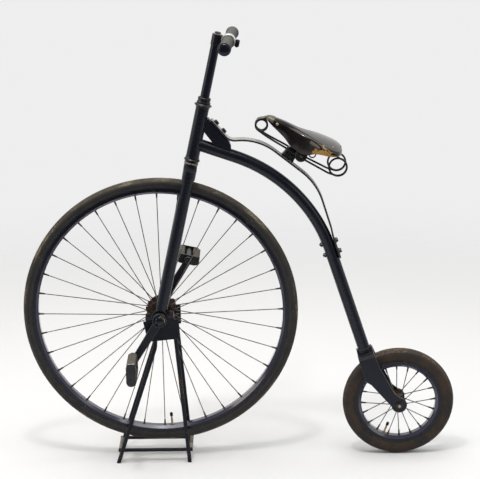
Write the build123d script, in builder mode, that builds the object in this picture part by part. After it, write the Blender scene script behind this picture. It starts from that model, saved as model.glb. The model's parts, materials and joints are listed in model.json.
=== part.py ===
"""Small-wheel penny farthing bicycle, held by its display stand.

Millimetres. X runs from the front wheel to the rear wheel, Y across, Z up from the floor.
The rider sits facing -X and the rider's left side is -Y. The steering axis passes
through the front axle, so everything on the front assembly is placed by its height up
that axis and its distance behind it.
"""
import os
from math import atan2, cos, degrees, radians, sin, tau

from build123d import *

os.makedirs("parts", exist_ok=True)

# ---------------------------------------------------------------- driving dimensions
wheelbase = 594.4
front_tyre_radius = 342.0
rear_tyre_radius = 140.0
front_axle_height = 386.0
head_tilt = 12.5
front_axle_x = (front_tyre_radius - wheelbase - rear_tyre_radius) / 2
rear_axle_x = front_axle_x + wheelbase
rear_axle_height = rear_tyre_radius

# front wheel
front_rim_flange_radius = 318.0
front_bead_radius = 311.0
front_rim_inner_radius = 304.0
front_tyre_half_width = 16.2
front_spoke_count = 36
front_spoke_phase = -0.5
spoke_seat = 0.3
hub_flange_offset = 25.5
hub_flange_radius = 34.0
hub_barrel_radius = 12.0
hub_end_offset = 33.7
axle_radius = 10.0
bearing_clearance = 0.05

# rear wheel
rear_rim_flange_radius = 109.0
rear_bead_radius = 101.6
rear_rim_inner_radius = 93.5
rear_tyre_half_width = 16.0
rear_spoke_count = 20
rear_spoke_phase = -2.6
rear_hub_flange_offset = 25.0
rear_hub_flange_radius = 19.0
rear_hub_end_offset = 30.0
rear_axle_radius = 4.75

# cranks and pedals
crank_length = 127.0
crank_angle = 32.0
crank_inner_face = 66.5
crank_thickness = 12.0
crank_boss_radius = 17.0
pedal_mid_offset = 125.0
pedal_length = 84.0

# fork, bearings and headset, by height up the steering axis
leg_offset = 47.0
leg_radius = 14.3
bearing_radius = 21.0
bearing_inner_face = 34.0
bearing_outer_face = 60.0
bearing_tilt = 6.3
crown_bottom = 358.0
crown_top = 380.0
collar_top = 385.0
race_top = 389.7
lower_cup_bottom = 390.0
head_tube_bottom = 404.0
head_tube_top = 527.0
upper_cup_top = 538.0
locknut_bottom = 538.3
locknut_top = 553.0
steerer_radius = 12.7
head_tube_radius = 16.2

# stem and handlebar
quill_radius = 11.1
stem_head_bottom = 682.0
stem_head_top = 708.0
bar_turn = 3.7
bar_height = 698.0
bar_reach = 28.3
bar_radius = 11.1
bar_half_length = 139.0
grip_inner = 23.0
grip_outer = 137.0

# stand
stand_leg_radius = 5.0
stand_rail_radius = 4.5
stand_leg_offset = 50.0
stand_rail_offset = stand_leg_offset - stand_leg_radius - stand_rail_radius - 0.05
stand_rail_height = 29.8
stand_rail_ends = (-114.5, 73.0)
stand_plate_inner = stand_leg_offset + stand_leg_radius + 0.05
stand_plate_thickness = 4.0
# each leg's route in its upright plane, from the front axle: down the bracket, then to the floor
stand_leg_routes = {
    "front": [(-10.0, -25.0), (-14.2, -79.4), (-114.5, -front_axle_height)],
    "rear": [(33.5, -8.0), (65.3, -front_axle_height)],
}

# frame
backbone_radius = 15.0
backbone_bend_radius = 376.0
backbone_bend_x = 64.5
backbone_bend_z = 38.6
backbone_head_slope = 19.5
backbone_head_run = 101.0
backbone_low_angle = 18.1
backbone_end_z = -115.9
leaf_width = 28.0
leaf_thickness = 4.4


# ---------------------------------------------------------------- placing helpers
def at(x, z, y=0.0):
    """A point given from the front axle."""
    return Vector(front_axle_x + x, y, front_axle_height + z)


def steering_plane(height, behind=0.0, y=0.0):
    """A plane across the steering axis: its X points rearward, its Z up the axis."""
    tilt = radians(head_tilt)
    spot = at(height * sin(tilt) + behind * cos(tilt), height * cos(tilt) - behind * sin(tilt), y)
    return Plane(origin=spot, x_dir=(cos(tilt), 0, -sin(tilt)), z_dir=(sin(tilt), 0, cos(tilt)))


def side_plane(x=0.0, z=0.0, y=0.0, turn=0.0):
    """An upright plane along the bicycle, seen from the rider's left, its X turned up by an angle."""
    lift = radians(turn)
    return Plane(origin=at(x, z, y), x_dir=(cos(lift), 0, sin(lift)), z_dir=(0, -1, 0))


def rod_plane(start, end):
    """A plane at one end of a rod, facing its other end."""
    return Plane(origin=start, z_dir=Vector(end) - Vector(start))


def finish(piece, name):
    piece.part.label = name
    export_step(piece.part, f"parts/{name}.step")


sides = {"left": -1, "right": 1}
front_axle = at(0, 0)
rear_axle = Vector(rear_axle_x, 0, rear_axle_height)
front_axis = Axis(front_axle, (0, 1, 0))
rear_axis = Axis(rear_axle, (0, 1, 0))


# ---------------------------------------------------------------- wheels
def wheel_plane(centre):
    """The plane that a wheel's profiles are drawn in: X across the wheel, Y outward."""
    return Plane(origin=centre, x_dir=(0, 1, 0), z_dir=(1, 0, 0))


def rim_profile(flange_radius, bead_radius, inner_radius, half_width):
    """A hooked box rim's section, half drawn and mirrored about the wheel's middle plane."""
    wall = 1.6
    well = bead_radius - 4.0
    with BuildLine() as outline:
        Polyline(
            (0, well), (half_width * 0.45, well), (half_width * 0.55, bead_radius),
            (half_width - wall, bead_radius), (half_width - wall, flange_radius),
            (half_width, flange_radius), (half_width, bead_radius - 1.0),
            (half_width * 0.55, inner_radius), (0, inner_radius),
        )
        mirror(about=Plane.YZ)
    return outline.line


def tyre_profile(outer_radius, flange_radius, bead_radius, half_width, rim_half_width):
    """A tyre's section: seated between the rim's flanges, facets round a sidewall and a flatter tread."""
    seat = rim_half_width - 1.65
    seat_radius = bead_radius + 0.05
    wall_foot = flange_radius + 0.6
    widest = (outer_radius + flange_radius) / 2
    with BuildLine() as outline:
        Polyline(
            (0, seat_radius), (seat, seat_radius), (seat, wall_foot), (half_width * 0.92, wall_foot + 3.5),
            (half_width, widest), (half_width * 0.88, outer_radius - 6.5),
            (half_width * 0.58, outer_radius - 2.6), (half_width * 0.28, outer_radius - 0.7),
            (0, outer_radius),
        )
        mirror(about=Plane.YZ)
    return outline.line


rim_half_width = 13.5

with BuildPart() as front_tyre:
    with BuildSketch(wheel_plane(front_axle)):
        make_face(tyre_profile(front_tyre_radius, front_rim_flange_radius, front_bead_radius,
                               front_tyre_half_width, rim_half_width).edges())
    revolve(axis=front_axis)
finish(front_tyre, "front_tyre")

with BuildPart() as front_rim:
    with BuildSketch(wheel_plane(front_axle)):
        make_face(rim_profile(front_rim_flange_radius, front_bead_radius,
                              front_rim_inner_radius, rim_half_width).edges())
    revolve(axis=front_axis)
finish(front_rim, "front_rim")

with BuildPart() as rear_tyre:
    with BuildSketch(wheel_plane(rear_axle)):
        make_face(tyre_profile(rear_tyre_radius, rear_rim_flange_radius, rear_bead_radius,
                               rear_tyre_half_width, rim_half_width).edges())
    revolve(axis=rear_axis)
finish(rear_tyre, "rear_tyre")

with BuildPart() as rear_rim:
    with BuildSketch(wheel_plane(rear_axle)):
        make_face(rim_profile(rear_rim_flange_radius, rear_bead_radius,
                              rear_rim_inner_radius, rim_half_width).edges())
    revolve(axis=rear_axis)
finish(rear_rim, "rear_rim")


def hub(centre, axis, flange_radius, flange_offset, barrel_radius, boss_radius, end_offset, bore):
    """A hub shell with two spoke flanges."""
    half_flange = 1.5
    with BuildPart() as shell:
        with BuildSketch(wheel_plane(centre)):
            with BuildLine():
                Polyline(
                    (0, bore), (end_offset, bore), (end_offset, boss_radius),
                    (flange_offset + half_flange, boss_radius),
                    (flange_offset + half_flange, flange_radius),
                    (flange_offset - half_flange, flange_radius),
                    (flange_offset - half_flange, barrel_radius + 4.0),
                    (flange_offset - half_flange - 6.0, barrel_radius), (0, barrel_radius),
                )
                mirror(about=Plane.YZ)
            make_face()
        revolve(axis=axis)
    return shell


def spokes(centre, count, phase, hub_radius, flange_offset, rim_radius, spoke_radius):
    """Radial spokes, turn about on the two flanges, the first at a phase angle from the top."""
    with BuildPart() as cage:
        for number in range(count):
            angle = radians(phase) + tau * number / count
            side = -1 if number % 2 else 1
            outward = Vector(sin(angle), 0, cos(angle))
            start = centre + outward * (hub_radius + spoke_seat) + Vector(0, side * flange_offset, 0)
            end = centre + outward * (rim_radius - spoke_seat) + Vector(0, side * 1.5, 0)
            with BuildSketch(rod_plane(start, end)):
                Circle(spoke_radius)
            extrude(amount=(end - start).length)
    return cage


front_hub = hub(front_axle, front_axis, hub_flange_radius, hub_flange_offset,
                hub_barrel_radius + 4, 14.0, hub_end_offset, axle_radius)
finish(front_hub, "front_hub")
front_spokes = spokes(front_axle, front_spoke_count, front_spoke_phase, hub_flange_radius,
                      hub_flange_offset, front_rim_inner_radius, 1.1)
finish(front_spokes, "front_spokes")

rear_hub = hub(rear_axle, rear_axis, rear_hub_flange_radius, rear_hub_flange_offset,
               11.0, 11.0, rear_hub_end_offset, rear_axle_radius + bearing_clearance)
finish(rear_hub, "rear_hub")
rear_spokes = spokes(rear_axle, rear_spoke_count, rear_spoke_phase, rear_hub_flange_radius,
                     rear_hub_flange_offset, rear_rim_inner_radius, 1.1)
finish(rear_spokes, "rear_spokes")


def valve(centre, angle, rim_radius, length):
    """A tyre valve's stem with its cap, pointing at the axle."""
    outward = Vector(sin(radians(angle)), 0, cos(radians(angle)))
    with BuildPart() as stem:
        with BuildSketch(rod_plane(centre + outward * (rim_radius - 0.05), centre)):
            Circle(2.6)
        extrude(amount=length)
        with BuildSketch(rod_plane(centre + outward * (rim_radius - length), centre)):
            Circle(3.8)
        extrude(amount=12.0)
    return stem


front_valve = valve(front_axle, 176.0, front_rim_inner_radius, 24.0)
finish(front_valve, "front_valve")
rear_valve = valve(rear_axle, 202.0, rear_rim_inner_radius, 18.0)
finish(rear_valve, "rear_valve")

with BuildPart() as front_axle_shaft:
    with BuildSketch(Plane.XZ.offset(-(crank_inner_face + crank_thickness)).shift_origin(
            (front_axle_x, crank_inner_face + crank_thickness, front_axle_height))):
        Circle(axle_radius)
    extrude(amount=2 * (crank_inner_face + crank_thickness))
finish(front_axle_shaft, "front_axle")

# ---------------------------------------------------------------- cranks and pedals
crank_run = {
    "left": (-sin(radians(crank_angle)), -cos(radians(crank_angle))),
    "right": (sin(radians(crank_angle)), cos(radians(crank_angle))),
}
pedal_lean = {"left": 90.0, "right": -13.0}

for name, side in sides.items():
    run_x, run_z = crank_run[name]
    pedal_x, pedal_z = crank_length * run_x, crank_length * run_z
    swing = degrees(atan2(run_z, run_x))
    middle = side * (crank_inner_face + crank_thickness / 2)
    with BuildPart() as crank:
        with BuildSketch(side_plane(0, 0, middle)):
            Circle(crank_boss_radius)
        extrude(amount=crank_thickness / 2, both=True)
        with BuildSketch(side_plane(0, 0, middle, swing)):
            with BuildLine():
                Polyline((0, 10.5), (crank_length, 8.5), (crank_length, -8.5), (0, -10.5), close=True)
            make_face()
            with Locations((crank_length, 0)):
                Circle(10.5)
        extrude(amount=4.5, both=True)
        with BuildSketch(side_plane(0, 0, middle)):
            Circle(axle_radius)
        extrude(amount=crank_thickness, both=True, mode=Mode.SUBTRACT)
        with BuildSketch(side_plane(pedal_x, pedal_z, middle)):
            Circle(5.0)
        extrude(amount=crank_thickness, both=True, mode=Mode.SUBTRACT)
    finish(crank, f"crank_{name}")

    outer_end = pedal_mid_offset + pedal_length / 2
    with BuildPart() as spindle:
        with BuildSketch(side_plane(pedal_x, pedal_z, side * (crank_inner_face + 1.5))):
            Circle(5.0)
        extrude(amount=-side * (outer_end - 4.5 - crank_inner_face - 1.5))
    finish(spindle, f"pedal_spindle_{name}")

    lean = pedal_lean[name]
    plate_thickness = 4.0
    barrel_start = pedal_mid_offset - pedal_length / 2
    with BuildPart() as pedal_body:
        with BuildSketch(side_plane(pedal_x, pedal_z, side * barrel_start)):
            Circle(9.0)
        extrude(amount=-side * pedal_length)
        for plate_at in (barrel_start, barrel_start + pedal_length - plate_thickness):
            with BuildSketch(side_plane(pedal_x, pedal_z, side * plate_at, lean)):
                SlotOverall(58.0, 24.0)
            extrude(amount=-side * plate_thickness)
        with BuildSketch(side_plane(pedal_x, pedal_z, side * (barrel_start - 1))):
            Circle(5.0 + bearing_clearance)
        extrude(amount=-side * (pedal_length - 3.0), mode=Mode.SUBTRACT)
    finish(pedal_body, f"pedal_body_{name}")

    with BuildPart() as pedal_rubber:
        start = barrel_start + plate_thickness
        with BuildSketch(side_plane(pedal_x, pedal_z, side * start, lean)):
            with Locations((-19.2, 0), (19.2, 0)):
                RectangleRounded(19.5, 23.0, 5.0)
        extrude(amount=-side * (pedal_length - 2 * plate_thickness))
    finish(pedal_rubber, f"pedal_rubbers_{name}")

with BuildPart() as dust_caps:
    with BuildSketch(side_plane(0, 0, -crank_inner_face - crank_thickness)):
        Circle(13.0)
    extrude(amount=3.0)
    mirror(about=Plane.XZ)
finish(dust_caps, "crank_dust_caps")

# ---------------------------------------------------------------- front fork
with BuildPart() as fork_crown:
    with BuildSketch(steering_plane(crown_bottom)):
        SlotOverall(2 * (leg_offset + 17.0), 32.0, rotation=90)
    extrude(amount=crown_top - crown_bottom)
    with BuildSketch(steering_plane(crown_top)):
        Circle(head_tube_radius)
    extrude(amount=collar_top - crown_top)
    with BuildSketch(steering_plane(collar_top)):
        Circle(steerer_radius)
    extrude(amount=locknut_top - collar_top)
finish(fork_crown, "fork_crown")

for name, side in sides.items():
    with BuildPart() as fork_leg:
        with BuildSketch(steering_plane(0, 0, side * leg_offset)):
            Circle(leg_radius)
        extrude(amount=crown_bottom)
        with BuildSketch(side_plane(0, 0, side * leg_offset, bearing_tilt)):
            Circle(bearing_radius)
            with Locations((0, -5)):
                Rectangle(100, 24.0)
        extrude(amount=30.0, both=True, mode=Mode.SUBTRACT)
    finish(fork_leg, f"fork_leg_{name}")

bearing_middle = -(bearing_inner_face + bearing_outer_face) / 2
bearing_half = (bearing_outer_face - bearing_inner_face) / 2
bearing = side_plane(0, 0, bearing_middle, bearing_tilt)
wing_width = 70.0
wing_thickness = 7.0

with BuildPart() as bearing_caps:
    with BuildSketch(bearing):
        Circle(bearing_radius)
        with Locations((0, wing_thickness / 2)):
            Rectangle(wing_width, wing_thickness)
        with Locations((0, -30)):
            Rectangle(100, 60, mode=Mode.SUBTRACT)
        Circle(axle_radius + bearing_clearance, mode=Mode.SUBTRACT)
    extrude(amount=bearing_half, both=True)
    mirror(about=Plane.XZ)
finish(bearing_caps, "bearing_caps")

# the stand's bracket is the lower half of each bearing, with a plate that carries the legs
plate_outline = [(-41.5, -8), (47, -1.5), (47.5, -52), (33, -54), (-22, -59.5), (-33.5, -47)]
with BuildPart() as stand_brackets:
    with BuildSketch(bearing):
        Circle(bearing_radius)
        with Locations((0, -wing_thickness / 2)):
            Rectangle(wing_width, wing_thickness)
        with Locations((0, 30)):
            Rectangle(100, 60, mode=Mode.SUBTRACT)
        Circle(axle_radius + bearing_clearance, mode=Mode.SUBTRACT)
    extrude(amount=bearing_half, both=True)
    with BuildSketch(side_plane(0, 0, -stand_plate_inner - stand_plate_thickness / 2)):
        with BuildLine():
            Polyline(*plate_outline, close=True)
        make_face()
        Circle(axle_radius + bearing_clearance, mode=Mode.SUBTRACT)
    extrude(amount=stand_plate_thickness / 2, both=True)
    for points in stand_leg_routes.values():
        with BuildSketch(side_plane(0, 0, -stand_leg_offset)):
            with BuildLine():
                Line(points[0], points[1])
            trace(line_width=2 * stand_leg_radius + 0.2)
        extrude(amount=stand_leg_radius + 0.05, both=True, mode=Mode.SUBTRACT)
    mirror(about=Plane.XZ)
finish(stand_brackets, "stand_brackets")

with BuildPart() as bearing_bolts:
    lift = radians(bearing_tilt)
    up = Vector(-sin(lift), 0, cos(lift))
    for along in (-28.0, 28.0):
        foot = at(along * cos(lift), along * sin(lift), bearing_middle) + up * wing_thickness
        with BuildSketch(rod_plane(foot, foot + up)):
            RegularPolygon(6.5, 6)
        extrude(amount=5.0)
    mirror(about=Plane.XZ)
finish(bearing_bolts, "bearing_bolts")

with BuildPart() as lower_race:
    with BuildSketch(steering_plane(collar_top)):
        Circle(17.8)
        Circle(steerer_radius, mode=Mode.SUBTRACT)
    extrude(amount=race_top - collar_top)
finish(lower_race, "headset_lower_race")

with BuildPart() as locknut:
    with BuildSketch(steering_plane(locknut_bottom)):
        RegularPolygon(16.5, 6, major_radius=False)
        Circle(steerer_radius, mode=Mode.SUBTRACT)
    extrude(amount=locknut_top - locknut_bottom)
finish(locknut, "headset_locknut")

# ---------------------------------------------------------------- stem and handlebar
turn = radians(bar_turn)
tilt = radians(head_tilt)
bar_centre = steering_plane(bar_height, bar_reach * cos(turn), -bar_reach * sin(turn)).origin
bar_direction = Vector(sin(turn) * cos(tilt), cos(turn), -sin(turn) * sin(tilt))
bar_plane = Plane(origin=bar_centre, x_dir=(sin(tilt), 0, cos(tilt)), z_dir=bar_direction)

# the split clamp's two ears stand out behind the bar, with the pinch bolt through them
lug_reach = 27.0
lug_side = 1 if bar_plane.y_dir.X > 0 else -1

with BuildPart() as stem:
    with BuildSketch(steering_plane(locknut_top)):
        Circle(quill_radius)
    extrude(amount=stem_head_bottom - locknut_top)
    with BuildSketch(steering_plane(stem_head_bottom)):
        Circle(12.5)
    extrude(amount=stem_head_top - stem_head_bottom)
    with BuildSketch(steering_plane(stem_head_bottom).rotated((0, 0, -bar_turn))):
        with Locations((bar_reach / 2, 0)):
            Rectangle(bar_reach, 22.0)
    extrude(amount=24.0)
    with BuildSketch(bar_plane):
        Circle(15.0)
    extrude(amount=14.0, both=True)
    with BuildSketch(bar_plane):
        with Locations((-2.0, lug_side * lug_reach / 2)):
            Rectangle(12.0, lug_reach)
    extrude(amount=6.5, both=True)
    with BuildSketch(bar_plane):
        Circle(bar_radius)
    extrude(amount=30.0, both=True, mode=Mode.SUBTRACT)
finish(stem, "stem")

with BuildPart() as stem_bolt:
    with BuildSketch(steering_plane(stem_head_top)):
        Circle(9.0)
    extrude(amount=1.6)
    with BuildSketch(steering_plane(stem_head_top + 1.6)):
        RegularPolygon(6.5, 6, major_radius=False)
    extrude(amount=6.0)
    for start, height, radius in ((4.0, 6.0, 5.5), (-8.0, -7.0, 4.0)):
        lug_face = bar_centre + bar_plane.y_dir * (lug_side * (lug_reach - 5.5)) + bar_plane.x_dir * start
        with BuildSketch(rod_plane(lug_face, lug_face + bar_plane.x_dir * height)):
            RegularPolygon(radius, 6)
        extrude(amount=abs(height))
finish(stem_bolt, "stem_bolt")

with BuildPart() as handlebar:
    with BuildSketch(bar_plane):
        Circle(bar_radius)
    extrude(amount=bar_half_length - 2.0, both=True)
finish(handlebar, "handlebar")

for name, side in sides.items():
    with BuildPart() as grip:
        with BuildSketch(bar_plane.offset(side * grip_inner)):
            Circle(14.4)
            Circle(bar_radius, mode=Mode.SUBTRACT)
        extrude(amount=side * (grip_outer - grip_inner))
        for flange_at in (grip_inner, grip_outer - 4.0):
            with BuildSketch(bar_plane.offset(side * flange_at)):
                Circle(16.0)
                Circle(bar_radius, mode=Mode.SUBTRACT)
            extrude(amount=side * 4.0)
        with BuildSketch(bar_plane.offset(side * grip_outer)):
            Circle(14.4)
        extrude(amount=side * 3.0)
    finish(grip, f"grip_{name}")

# ---------------------------------------------------------------- stand
def stand_legs(points):
    """A pair of bent rods in upright planes, cut level at the floor."""
    with BuildPart() as legs:
        with BuildLine() as route:
            spots = [at(x, z, -stand_leg_offset) for x, z in points]
            last = spots[-1] + (spots[-1] - spots[-2]).normalized() * 6.0
            if len(spots) > 2:
                FilletPolyline(*spots[:-1], last, radius=40.0)
            else:
                Line(spots[0], last)
        with BuildSketch(Plane(origin=spots[0], z_dir=spots[1] - spots[0])):
            Circle(stand_leg_radius)
        sweep(path=route.line)
        split(bisect_by=Plane.XY, keep=Keep.TOP)
        mirror(about=Plane.XZ)
    return legs


for end, points in stand_leg_routes.items():
    finish(stand_legs(points), f"stand_{end}_legs")

with BuildPart() as rails:
    start, end = [Vector(front_axle_x + along, -stand_rail_offset, stand_rail_height)
                  for along in stand_rail_ends]
    with BuildSketch(rod_plane(start, end)):
        Circle(stand_rail_radius)
    extrude(amount=(end - start).length)
    mirror(about=Plane.XZ)
finish(rails, "stand_rails")

with BuildPart() as cross_rods:
    for along in (stand_rail_ends[0] + stand_rail_radius, stand_rail_ends[1] - stand_rail_radius):
        with BuildSketch(Plane.XZ.shift_origin((front_axle_x + along, 0, stand_rail_height))):
            Circle(stand_rail_radius)
        extrude(amount=stand_rail_offset - stand_rail_radius, both=True)
finish(cross_rods, "stand_cross_rods")

# ---------------------------------------------------------------- frame
with BuildPart() as head_tube:
    with BuildSketch(steering_plane(head_tube_bottom)):
        Circle(head_tube_radius)
        Circle(head_tube_radius - 2.4, mode=Mode.SUBTRACT)
    extrude(amount=head_tube_top - head_tube_bottom)
finish(head_tube, "head_tube")

with BuildPart() as lower_cup:
    with BuildSketch(steering_plane(lower_cup_bottom)):
        Circle(19.6)
        Circle(steerer_radius + bearing_clearance, mode=Mode.SUBTRACT)
    extrude(amount=head_tube_bottom - lower_cup_bottom)
finish(lower_cup, "headset_lower_cup")

with BuildPart() as upper_cup:
    with BuildSketch(steering_plane(head_tube_top)):
        Circle(18.5)
        Circle(steerer_radius + bearing_clearance, mode=Mode.SUBTRACT)
    extrude(amount=upper_cup_top - head_tube_top)
    with BuildSketch(steering_plane(upper_cup_top - 5.0)):
        Circle(21.5)
        Circle(steerer_radius + bearing_clearance, mode=Mode.SUBTRACT)
    extrude(amount=3.0)
finish(upper_cup, "headset_upper_cup")

low = radians(backbone_low_angle)
bend_centre = at(backbone_bend_x, backbone_bend_z)
bend_end = at(backbone_bend_x + backbone_bend_radius * cos(low),
              backbone_bend_z + backbone_bend_radius * sin(low))
run_down = Vector(sin(low), 0, -cos(low))
backbone_end = bend_end + run_down * ((bend_end.Z - front_axle_height - backbone_end_z) / cos(low))
head_run = Vector(cos(radians(backbone_head_slope)), 0, -sin(radians(backbone_head_slope)))
bend_start_angle = radians(90 - backbone_head_slope)
bend_middle_angle = (bend_start_angle + low) / 2


def bend_point(angle):
    return at(backbone_bend_x + backbone_bend_radius * cos(angle),
              backbone_bend_z + backbone_bend_radius * sin(angle))


with BuildPart() as backbone:
    with BuildLine() as spine:
        bend_start = bend_point(bend_start_angle)
        Line(bend_start - head_run * backbone_head_run, bend_start)
        ThreePointArc(bend_start, bend_point(bend_middle_angle), bend_end)
        Line(bend_end, backbone_end)
    with BuildSketch(Plane(origin=spine.line @ 0, z_dir=spine.line % 0)):
        Circle(backbone_radius)
    sweep(path=spine.line)
    with BuildSketch(steering_plane(head_tube_bottom)):
        Circle(head_tube_radius)
    extrude(amount=head_tube_top - head_tube_bottom, mode=Mode.SUBTRACT)
finish(backbone, "backbone")

# rear fork: a bent sheet. Its crown is the flat top across the backbone's end, its sides are
# the blades, whose outline runs round from the crown's front corner by the rear edge
blade_inner = 30.3
blade_thickness = 5.0
crown_half_length = 20.7
crown_thickness = 4.5
crown_bend = 4.0
sleeve_radius = 16.8
sleeve_height = 14.0
crown_middle = backbone_end + run_down * (crown_thickness / 2)
crown_plane = Plane(origin=backbone_end, x_dir=(cos(low), 0, sin(low)), z_dir=-run_down)
blade_outline = [(546.6, -148.2), (582.7, -215.2), (612.7, -239.3), (594.4, -246.0), (575.2, -249.4),
                 (518.0, -184.3), (509.7, -181.9)]

with BuildPart() as rear_crown:
    with BuildSketch(crown_plane):
        Rectangle(2 * crown_half_length, 2 * (blade_inner + blade_thickness))
    extrude(amount=-crown_thickness)
    fillet(rear_crown.edges().filter_by(GeomType.LINE).group_by(Axis.Y)[0].sort_by(Axis.Z)[-2:]
           .filter_by(lambda edge: edge.length > crown_half_length), crown_bend)
    with BuildSketch(crown_plane):
        Circle(sleeve_radius)
        with Locations((-sleeve_radius - 1.0, 0), (sleeve_radius + 1.0, 0)):
            Rectangle(3.0, 16.0)
    extrude(amount=sleeve_height)
    add(backbone.part, mode=Mode.SUBTRACT)
finish(rear_crown, "rear_fork_crown")

with BuildPart() as blades:
    with BuildSketch(side_plane(0, 0, -blade_inner - blade_thickness / 2)):
        with BuildLine():
            corners = [crown_middle + run_down * (crown_thickness / 2) + crown_plane.x_dir * reach
                       for reach in (-crown_half_length, crown_half_length)]
            Polyline(*[(corner.X - front_axle_x, corner.Z - front_axle_height) for corner in corners],
                     *blade_outline, close=True)
        make_face()
        with Locations((wheelbase, rear_axle_height - front_axle_height)):
            Circle(19.5)
            Circle(rear_axle_radius, mode=Mode.SUBTRACT)
    extrude(amount=blade_thickness / 2, both=True)
    mirror(about=Plane.XZ)
finish(blades, "rear_fork_blades")

with BuildPart() as rear_axle_shaft:
    outer = blade_inner + blade_thickness
    with BuildSketch(Plane.XZ.shift_origin(rear_axle)):
        Circle(rear_axle_radius)
    extrude(amount=outer + 12.0, both=True)
    for side in sides.values():
        with BuildSketch(Plane.XZ.shift_origin(rear_axle).offset(-side * outer)):
            RegularPolygon(8.0, 6, major_radius=False)
        extrude(amount=-side * 7.0)
finish(rear_axle_shaft, "rear_axle")

# ---------------------------------------------------------------- leaf spring and saddle
# a folded bracket: two side plates down to the backbone, and the seat of the leaf spring between
gusset_half_width = 12.0
gusset_sheet = 2.5
gusset_slope = -49.6
seat_top = (128.2, 489.0)
seat_foot = (177.2, 431.4)
with BuildPart() as gusset:
    with BuildSketch(side_plane()):
        with BuildLine():
            Polyline((104.0, 473.5), (110.0, 481.5), seat_top, seat_foot, (181.5, 416.0), (178.0, 396.0),
                     (146.0, 406.0), (146.0, 417.5), (117.6, 455.3), close=True)
        make_face()
    extrude(amount=gusset_half_width, both=True)
    fillet(gusset.edges().filter_by(lambda edge: edge.length > 60.0)
           .filter_by(lambda edge: abs(edge.center().Y) > gusset_half_width - 0.1)
           .sort_by(Axis.Z)[-2:], 4.0)
    with BuildSketch(side_plane(*seat_foot, 0, gusset_slope)):
        with Locations((0, -gusset_sheet - 50.0)):
            Rectangle(300.0, 100.0)
    extrude(amount=gusset_half_width - gusset_sheet, both=True, mode=Mode.SUBTRACT)
    with BuildSketch(steering_plane(head_tube_bottom)):
        Circle(head_tube_radius)
    extrude(amount=head_tube_top - head_tube_bottom, mode=Mode.SUBTRACT)
    add(backbone.part, mode=Mode.SUBTRACT)
finish(gusset, "head_gusset")


def beside_tube(down, out):
    """A point beside the backbone's straight run: down it from its bend, out from its axis."""
    return (backbone_bend_x + (backbone_bend_radius + out) * cos(low) + down * sin(low),
            backbone_bend_z + (backbone_bend_radius + out) * sin(low) - down * cos(low))


leaf_seat = backbone_radius + leaf_thickness / 2 + 0.02
leaf_points = [(134.8, 484.7), (177.6, 434.4), (249.0, 437.2), (388.5, 326.0), (424.0, 212.0),
               beside_tube(-34.0, leaf_seat), beside_tube(26.0, leaf_seat)]
leaf_radii = [28.0, 130.0, 150.0, 60.0, 40.0]
with BuildPart() as leaf:
    with BuildSketch(side_plane()):
        with BuildLine():
            FilletPolyline(*leaf_points, radius=leaf_radii)
        trace(line_width=leaf_thickness)
    extrude(amount=leaf_width / 2, both=True)
finish(leaf, "saddle_leaf_spring")

# bolts: a head on the leaf spring's face, and below the backbone a nut on the tube
leaf_slope = atan2(leaf_points[1][1] - leaf_points[0][1], leaf_points[1][0] - leaf_points[0][0])
leaf_run = Vector(cos(leaf_slope), 0, sin(leaf_slope))
leaf_up = Vector(-sin(leaf_slope), 0, cos(leaf_slope))
tube_out = Vector(cos(low), 0, sin(low))
bolt_head = 5.0
nut_height = 7.0
with BuildPart() as leaf_bolts:
    for along in (13.0, 40.0):
        face = at(*leaf_points[0]) + leaf_run * along + leaf_up * (leaf_thickness / 2)
        with BuildSketch(rod_plane(face, face + leaf_up)):
            RegularPolygon(6.5, 6)
        extrude(amount=bolt_head)
    for down in (-18.0, 10.5):
        face = at(*beside_tube(down, leaf_seat + leaf_thickness / 2))
        with BuildSketch(rod_plane(face, face + tube_out)):
            RegularPolygon(6.5, 6)
        extrude(amount=bolt_head)
        nut = at(*beside_tube(down, -backbone_radius - nut_height))
        with BuildSketch(rod_plane(nut, nut + tube_out)):
            Circle(6.0)
        extrude(amount=nut_height + 2.0)
    add(backbone.part, mode=Mode.SUBTRACT)
finish(leaf_bolts, "leaf_spring_bolts")

# saddle, drawn from its nose along its own slope
saddle_slope = -22.4
saddle_nose = (270.0, 490.0)
saddle_side = side_plane(*saddle_nose, 0, saddle_slope)
slope = radians(saddle_slope)
saddle_top = Plane(origin=at(*saddle_nose), x_dir=(cos(slope), 0, sin(slope)), z_dir=(-sin(slope), 0, cos(slope)))
saddle_length = 198.0


def saddle_outline(inset):
    """Half of the saddle seen from above, drawn in by an inset and mirrored."""
    diagonal = inset * 0.7
    with BuildLine() as outline:
        nose = ThreePointArc((-4.0 + inset, 0), (2.5 + diagonal, 13.0 - diagonal), (16.0, 19.0 - inset))
        neck = Line(nose @ 1, (62.0, 24.0 - inset))
        flare = ThreePointArc(neck @ 1, (112.0, 46.0 - inset), (150.0, 84.0 - inset))
        ThreePointArc(flare @ 1, (saddle_length - 24.0 - diagonal, 74.0 - diagonal), (saddle_length - inset, 0))
        mirror(about=Plane.XZ)
    return outline.edges()


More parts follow.
